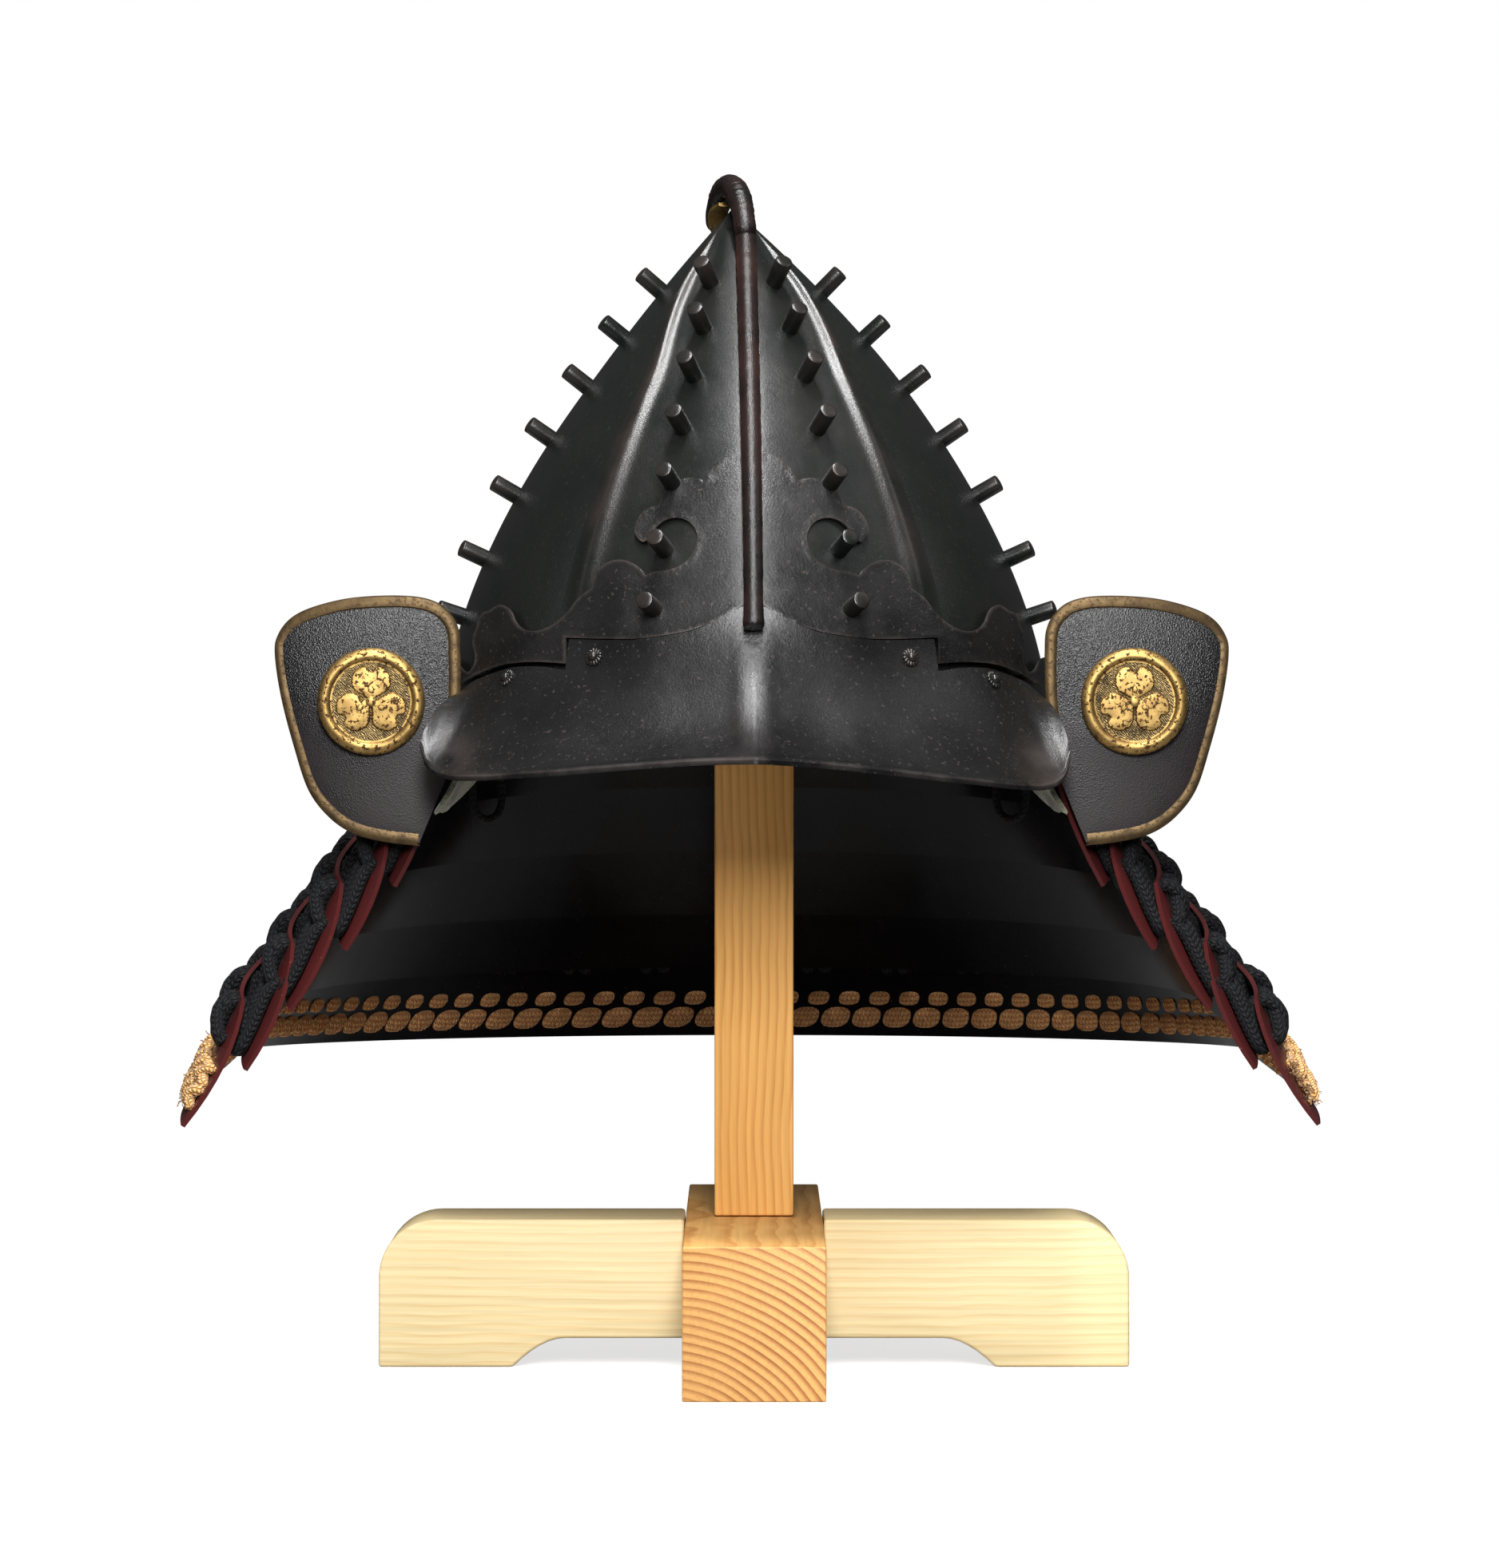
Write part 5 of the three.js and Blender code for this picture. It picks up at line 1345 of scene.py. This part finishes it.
def lame_edge(row, upper, u):
    first = 7 if upper else 0
    tip_x, tip_y, tip_z, side_x, side_z, back_y, back_z = LAMES[row][first:first + 7]
    at = np.abs(u)
    side = np.where(u < 0, -1.0, 1.0)
    whole = 1 - TIP_SHARE
    round_share = np.minimum(at / whole, 1)
    turn = round_share * math.pi / 2
    t = np.maximum(0, (at - whole) / TIP_SHARE)
    swell = TIP_SWELL * 6.75 * t * t * (1 - t)
    straight = at > whole
    x = np.where(straight, side_x + (tip_x - side_x) * t ** 1.3 + swell, side_x * np.sin(turn))
    y = np.where(straight, SIDE_Y + (tip_y - SIDE_Y) * t,
                 SIDE_Y + (back_y - SIDE_Y) * np.cos(turn))
    z = np.where(straight, side_z + (tip_z - side_z) * t ** 1.2,
                 back_z + (side_z - back_z) * round_share ** 2)
    return np.stack([side * x, y, z], axis=-1)


def lame_surface(row, u, v, depth):
    """A point of a lame: u from the left tip (-1) to the right (1), v up, depth outwards."""
    u, v, depth = np.broadcast_arrays(np.asarray(u, float), v, depth)
    low = lame_edge(row, False, u)
    up = lame_edge(row, True, u) - low
    step = np.where(u > 0, -0.01, 0.01)
    beside = lame_edge(row, False, u + step) - low
    normal = np.cross(beside, up) * -np.sign(step)[..., None]
    normal /= np.linalg.norm(normal, axis=-1, keepdims=True)
    tip_near = np.clip((np.abs(u) - 0.86) / 0.14, 0, 1) ** 2
    bow = -TIP_BOW * 4 * v * (1 - v) * tip_near * np.where(u < 0, -1.0, 1.0)
    point = low + up * v[..., None] + normal * depth[..., None]
    point[..., 0] += bow
    point[..., 1] += -0.9 * np.abs(bow)
    return point


def gloss_lacquer(name, base, tint, rough_low, rough_high, dust):
    """Glossy lacquer in two close shades, with fine specks of dust."""
    material, tree, shader = new_material(name)
    place = own_place(tree)
    cloud = noise(tree, place, 26.0, 4.0)
    dust_mask = ranged(tree, noise(tree, place, 900.0), 0.70, 0.78)
    feed(tree, shader, {
        "Base Color": mixed(tree, dust_mask, mixed(tree, cloud, base, tint), dust),
        "Roughness": ranged(tree, cloud, 0.35, 0.65, rough_low, rough_high),
        "Normal": bumped(tree, noise(tree, place, 55.0, 1.0), 0.12, 0.001),
        "Specular IOR Level": 0.15,
    })
    return material


black_gloss = gloss_lacquer("black gloss lacquer", (0.002, 0.002, 0.0035, 1),
                            (0.003, 0.003, 0.005, 1), 0.16, 0.24, (0.05, 0.045, 0.05, 1))
red_gloss = gloss_lacquer("dark red lacquer", (0.075, 0.013, 0.012, 1),
                          (0.040, 0.008, 0.009, 1), 0.22, 0.36, (0.15, 0.05, 0.04, 1))

lame_u = np.linspace(-1, 1, LAME_COLUMNS)
lame_u = np.sign(lame_u) * (1 - (1 - np.abs(lame_u)) ** 1.25)
lame_v = np.linspace(0, 1, LAME_ROWS)
grid_u, grid_lv = np.meshgrid(lame_u, lame_v)
for row in range(len(LAMES)):
    outer = lame_surface(row, grid_u, grid_lv, LAME_THICKNESS)
    inner = lame_surface(row, grid_u, grid_lv, 0.0)
    lame = sheet(f"neck_lame_{row + 1}", outer, inner, [red_gloss, black_gloss], 1)
    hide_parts(f"lame_{row + 1}")
    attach(lame, "root")

# ---------------------------------------------------------------- lacing
# Pairs of braided black silk cords hang each lame from the one above: down the upper
# lame's face, through the lower one from inside, crossed over its top and back through it.
CORD_RADIUS, DOWN_SHARE = 2.75, 0.95
PAIR_SPACING, PAIR_HALF, PAIR_MARGIN, PAIR_LAME = 27.0, 3.2, 9.0, 2
OUT = LAME_THICKNESS


def length_round(row, upper, count=600):
    """Positions u along a lame's edge and the run in millimetres at each."""
    u = np.linspace(-1, 1, count)
    return u, run_along(lame_edge(row, upper, u))


def lace_point(row, u, along_mm, v, depth, whole):
    """A point `along_mm` beside u, at height v and depth off a lame's inner face."""
    return lame_surface(row, [u + 2 * along_mm / whole], [v], np.array([depth]))[0]


pair_u, pair_run = length_round(PAIR_LAME, True)
pair_count = int(round((pair_run[-1] - 2 * PAIR_MARGIN) / PAIR_SPACING)) + 1
columns = np.interp(np.linspace(PAIR_MARGIN, pair_run[-1] - PAIR_MARGIN, pair_count),
                    pair_run, pair_u)
for gap in range(len(LAMES) - 1):
    upper_row, lower_row = gap, gap + 1
    tubes = []
    whole = length_round(lower_row, True)[1][-1]
    for u in columns:
        for side in (-1, 1):
            a = side * PAIR_HALF

            def at(row, along_mm, v, depth):
                return lace_point(row, u, along_mm, v, depth, whole)

            run_down = [
                at(upper_row, a * 0.9, 0.60, OUT - 0.6), at(upper_row, a * 1.05, 0.55, OUT + 2.3),
                at(upper_row, a, 0.42, OUT + 3.0), at(upper_row, a, 0.25, OUT + 2.9),
                at(upper_row, a, 0.08, OUT + 3.1), at(lower_row, a * 0.95, 0.62, -2.6),
                at(lower_row, a * 0.9, 0.66, -1.8), at(lower_row, a * 0.7, 0.80, -2.7),
                at(lower_row, a * 0.9, 0.90, -1.2), at(lower_row, a, 0.92, 0.8),
            ]
            tubes.append(braided(run_down, CORD_RADIUS * DOWN_SHARE))
            lift = 1.0 + 0.9 * side
            crossing = [
                at(lower_row, a * 1.05, 0.93, 0.6), at(lower_row, a * 1.1, 0.905, OUT + 2.2),
                at(lower_row, a * 0.75, 0.86, OUT + 2.9 + lift * 0.6),
                at(lower_row, 0, 0.77, OUT + 3.1 + lift),
                at(lower_row, -a * 0.75, 0.68, OUT + 2.8 + lift * 0.5),
                at(lower_row, -a * 1.1, 0.63, OUT + 2.0), at(lower_row, -a, 0.61, 0.6),
            ]
            tubes.append(braided(crossing, CORD_RADIUS))
    lacing = tube_mesh(f"silk_lacing_{gap + 1}", tubes, black_silk, CORD_STEP)
    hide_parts(f"lacing_{gap + 1}")
    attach(lacing, "root")

# ---------------------------------------------------------------- hem lacing
# Two rows of gold-brown silk stitches run along the lowest lame's foot: plump rope-like
# pads inside, and outside crossed stitches whose silk has frayed into a gold fuzz.
LOWEST = len(LAMES) - 1
HEM_PITCH, HEM_MARGIN, HEM_REACH = 13.3, 4, 0.9
SMALL_PAD = (4.5, 3.2, 1.9, 0.25)  # half width, half height, depth, lean
LARGE_PAD = (6.0, 4.6, 2.5, 0.35)
PAD_COLUMNS, PAD_ROWS, PAD_POWER = 40, 12, 2.6
PAD_RIDGE, PAD_RIDGE_PITCH, PAD_SLANT, PAD_SUNK = 0.26, 1.75, 0.75, 0.25
SMALL_V, LARGE_V = 0.335, 0.165
GOLD_STITCH = ((0.50, 0.15, 0.035, 1), (1.0, 0.60, 0.25, 1))
GOLD_FRAYED = ((0.40, 0.16, 0.035, 1), (0.95, 0.56, 0.17, 1))
FIBRES, FIBRE_LENGTH, FIBRE_RADIUS, FIBRE_SIDES = 5600, 3.6, 0.2, 3
FRAYED_MORE = 0.62  # beyond this share of the way to the tips every fibre stays
FIBRE_FROM, FIBRE_TO, FIBRE_SEED = 0.10, 0.43, 41

gold_silk = silk("gold-brown silk stitches", *GOLD_STITCH, 1.0, 2.2, 0.85, 0.15)
frayed_silk = silk("frayed gold silk", *GOLD_FRAYED, 3.0, 1.3, 0.7, 0.35)


def pad_mesh(name, half_width, half_height, depth, lean):
    """A plump leaning pad standing on the XY plane with diagonal cord ridges."""
    points = []
    uvs = []
    for j in range(PAD_ROWS + 1):
        ring = math.sin(0.5 * math.pi * j / PAD_ROWS)
        for i in range(PAD_COLUMNS):
            turn = 2 * math.pi * i / PAD_COLUMNS
            c, s = math.cos(turn), math.sin(turn)
            reach = ring / (abs(c) ** PAD_POWER + abs(s) ** PAD_POWER) ** (1 / PAD_POWER)
            x, y = half_width * reach * c, half_height * reach * s
            ridge = PAD_RIDGE * math.sin(2 * math.pi * (x + PAD_SLANT * y) / PAD_RIDGE_PITCH)
            z = depth * (1 - ring ** PAD_POWER) ** 0.6 * (1 + ridge) - PAD_SUNK
            points.append((x + lean * y, y, z))
            uvs.append(((x + PAD_SLANT * y) / PAD_RIDGE_PITCH, y / 1000))
    faces = []
    for j in range(PAD_ROWS):
        low, high = j * PAD_COLUMNS, (j + 1) * PAD_COLUMNS
        for i in range(PAD_COLUMNS):
            m = (i + 1) % PAD_COLUMNS
            faces.append((low + i, high + i, high + m, low + m))
    faces.append(tuple(PAD_ROWS * PAD_COLUMNS + i for i in reversed(range(PAD_COLUMNS))))
    made = add_mesh(name, np.array(points) / 1000, faces, [gold_silk])
    layer = made.data.uv_layers.new(name="weave")
    layer.data.foreach_set("uv", [value for face in faces for q in face for value in uvs[q]])
    graph = bmesh.new()
    graph.from_mesh(made.data)
    bmesh.ops.remove_doubles(graph, verts=graph.verts, dist=1e-6)
    graph.to_mesh(made.data)
    graph.free()
    face_up(made)
    return made


def hem_sites(v, offset):
    """Where the pads of one row stand on the lowest lame's inner face."""
    u, run = length_round(LOWEST, False)
    stops = np.arange(offset * HEM_PITCH + HEM_MARGIN, run[-1] - HEM_MARGIN, HEM_PITCH)
    sites = []
    for at in np.interp(stops, run, u):
        if abs(at) > HEM_REACH:
            continue
        base, ahead, back, above, below = (
            lame_surface(LOWEST, [at + du], [v + dv], np.zeros(1))[0]
            for du, dv in ((0, 0), (0.004, 0), (-0.004, 0), (0, 0.05), (0, -0.05)))
        out = np.cross(ahead - back, above - below)
        out *= -np.sign(np.dot(out, (base[0], base[1] - SIDE_Y, 0)))
        out /= np.linalg.norm(out)
        sites.append((placed(base), turned_directions(out), turned_directions(above - below),
                      (1, 1, 1)))
    return sites


small_row = scatter("small stitches", pad_mesh("small pad", *SMALL_PAD),
                    hem_sites(SMALL_V, 0.0), gold_silk)
large_row = scatter("hem_stitches_inside", pad_mesh("large pad", *LARGE_PAD),
                    hem_sites(LARGE_V, 0.5), gold_silk)


def joined(name, main, other):
    """One object holding both meshes' faces."""
    graph = bmesh.new()
    graph.from_mesh(main.data)
    graph.from_mesh(other.data)
    graph.to_mesh(main.data)
    graph.free()
    bpy.data.objects.remove(other)
    main.name = name
    main.data.name = name
    return main


inside_hem = joined("hem_stitches_inside", large_row, small_row)
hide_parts("hem_lacing_inner")
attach(inside_hem, "root")

STITCH_RADIUS, STITCH_PITCH, STITCH_HALF = 2.0, 10.5, 4.4
STITCH_SIDES, STITCH_STEP, STITCH_LIFT, STITCH_SUNK = 8, 1.3, 1.4, 0.5
STITCH_ROWS = ((0.12, 0.25), (0.29, 0.42))
tubes = []
u_all, run_all = length_round(LOWEST, False)
for row_low, row_high in STITCH_ROWS:
    for at in np.interp(np.arange(7, run_all[-1] - 6, STITCH_PITCH), run_all, u_all):
        for side in (-1, 1):
            lift = OUT + STITCH_LIFT + 0.5 * (side + 1)
            points = [lace_point(LOWEST, at, side * STITCH_HALF * across,
                                 row_high * (1 - fall) + row_low * fall, depth, run_all[-1])
                      for across, fall, depth in (
                          (-1, 0, OUT - STITCH_SUNK), (-0.8, 0.1, lift), (0, 0.5, lift + 0.5),
                          (0.8, 0.9, lift), (1, 1, OUT - STITCH_SUNK))]
            tubes.append(braided(points, STITCH_RADIUS, STITCH_SIDES, STITCH_STEP))
stitches = tube_mesh("cross stitches", tubes, frayed_silk, STITCH_STEP)
chance = np.random.default_rng(FIBRE_SEED)
fibre_u = chance.uniform(-0.992, 0.992, FIBRES)
fibre_u = fibre_u[(np.abs(fibre_u) > FRAYED_MORE) | (chance.random(FIBRES) < 0.5)]
count = len(fibre_u)
fibre_v = chance.uniform(FIBRE_FROM, FIBRE_TO, count)
raised = LAME_THICKNESS + chance.uniform(0.6, 3.6, count)
foot = lame_surface(LOWEST, fibre_u, fibre_v, raised)
outwards = lame_surface(LOWEST, fibre_u, fibre_v, raised + 5) - foot
outwards /= np.linalg.norm(outwards, axis=1, keepdims=True)
way = chance.normal(size=(count, 3))
way -= outwards * (np.sum(way * outwards, axis=1, keepdims=True) * 0.7)
way /= np.linalg.norm(way, axis=1, keepdims=True)
reach = FIBRE_LENGTH * chance.uniform(0.4, 1.0, (count, 1))
bend = chance.normal(size=(count, 3)) * 0.4 + outwards * 0.5
middles = foot + way * reach * 0.5 + bend
fibre_tubes = []
for start_at, middle_at, end_at, wide in zip(foot, middles, foot + way * reach,
                                             chance.uniform(0.7, 1.5, count)):
    fibre_tubes.append(tube_rings([start_at, middle_at, end_at], FIBRE_RADIUS * wide,
                                  FIBRE_SIDES, (0.3, 0.5, 0.8)))
fibres = tube_mesh("fibres", fibre_tubes, frayed_silk, 1.0)
outside_hem = joined("hem_stitches_outside", stitches, fibres)
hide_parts("hem_lacing_outer")
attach(outside_hem, "root")

# ---------------------------------------------------------------- temple tabs
# A soft strip of grey-green suede is fixed inside the bowl over each temple and hangs past
# the peak's foot, its free end a little rippled.
TAB_WIDTH, TAB_DROP, TAB_THICKNESS = 15.0, 15.5, 2.2
TAB_TOP = (93.0, -60.5, 253.0)


def suede():
    material, tree, shader = new_material("grey-green suede")
    place = own_place(tree)
    nap = noise(tree, place, 1300.0, 4.0)
    share = reckoned(tree, "MULTIPLY", nap, noise(tree, place, 120.0, 3.0))
    feed(tree, shader, {
        "Base Color": mixed(tree, ranged(tree, share, 0.12, 0.40), (0.022, 0.025, 0.015, 1),
                            (0.17, 0.18, 0.115, 1)),
        "Normal": bumped(tree, nap, 0.8, 0.0005), "Roughness": 0.95, "Sheen Weight": 0.6,
    })
    return material


grey_suede = suede()
tab_u, tab_v = np.meshgrid(np.linspace(-1, 1, 33), np.linspace(-1, 1, 61))


def tab_surface(side, u, v, depth):
    """From the bowl's inner wall at v = -1, past the peak's foot at 0, to the free end at 1."""
    rise = smoothstep(-v, 0, 1)
    low = np.maximum(v, 0)
    ripple = 0.5 * np.sin(3.1 * u + 4 * low) * low
    x = 104 + 11 * low - 3.2 * u * (1 - 0.4 * low) + ripple
    y = -80 + TAB_WIDTH * 0.5 * u
    z = 227 - TAB_DROP * low * (1 - 0.2 * u) - 2 * u - 0.5 * np.cos(5 * u) * low
    top = (TAB_TOP[0] + 3.9 * u, TAB_TOP[1] + 6.4 * u, TAB_TOP[2])
    point = [a + (b - a) * rise for a, b in zip((x, y, z), top)]
    return np.stack([side * (point[0] - depth), point[1], point[2]], axis=-1)


tab_edge = np.minimum(1, np.minimum(1 - np.abs(tab_u), np.minimum(tab_v + 1, 1 - tab_v)) * 12)
round_off = 0.5 * (1 - np.sqrt(1 - (1 - tab_edge) ** 2))
for side_name, side in SIDES:
    tab = sheet(f"suede_tab_{side_name}",
                tab_surface(side, tab_u, tab_v, TAB_THICKNESS * round_off),
                tab_surface(side, tab_u, tab_v, TAB_THICKNESS * (1 - round_off)), [grey_suede])
    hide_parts(f"temple_tab_{side_name}")
    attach(tab, "root")

# ---------------------------------------------------------------- loop tapes
# A folded black silk tape, sewn inside the bowl's edge over each temple, carries both ends
# of a chin cord loop.
TAPE_TOP, TAPE_LOW = (93.5, -60.0, 254.0), (98.0, -58.0, 228.6)
TAPE_HALF_WIDTH, TAPE_THICKNESS, TAPE_LENGTH = 5.6, 2.4, 0.026
TAPE_RIB, TAPE_RIBS = 0.15, 24
tape_across = np.array([-math.sin(LOOP_TURN), math.cos(LOOP_TURN), 0])
tape_out = np.array([math.cos(LOOP_TURN), math.sin(LOOP_TURN), 0])
tape_u, tape_v = np.meshgrid(np.linspace(-1, 1, 17), np.linspace(0, 1, 25))


def tape_surface(side, depth):
    start, end = np.array(TAPE_TOP), np.array(TAPE_LOW)
    bulge = depth * np.sqrt(np.clip(1 - tape_u ** 6, 0, 1) * np.clip(1 - tape_v ** 12, 0, 1))
    point = (start + (end - start) * tape_v[..., None]
             + tape_across * (TAPE_HALF_WIDTH * tape_u)[..., None] + tape_out * bulge[..., None])
    point[..., 2] += TAPE_RIB * np.cos(TAPE_RIBS * tape_u) * tape_v
    point[..., 0] *= side
    return point


for side_name, side in SIDES:
    tape = sheet(f"loop_tape_{side_name}", tape_surface(side, TAPE_THICKNESS / 2),
                 tape_surface(side, -TAPE_THICKNESS / 2), [black_silk])
    tape_uv = tape.data.uv_layers.new(name="weave")
    corner = np.empty(len(tape.data.loops), int)
    tape.data.loops.foreach_get("vertex_index", corner)
    spots = np.column_stack([np.tile(tape_u.ravel(), 2), np.tile(tape_v.ravel(), 2) * TAPE_LENGTH])
    tape_uv.data.foreach_set("uv", spots[corner].ravel())
    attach(tape, "root")
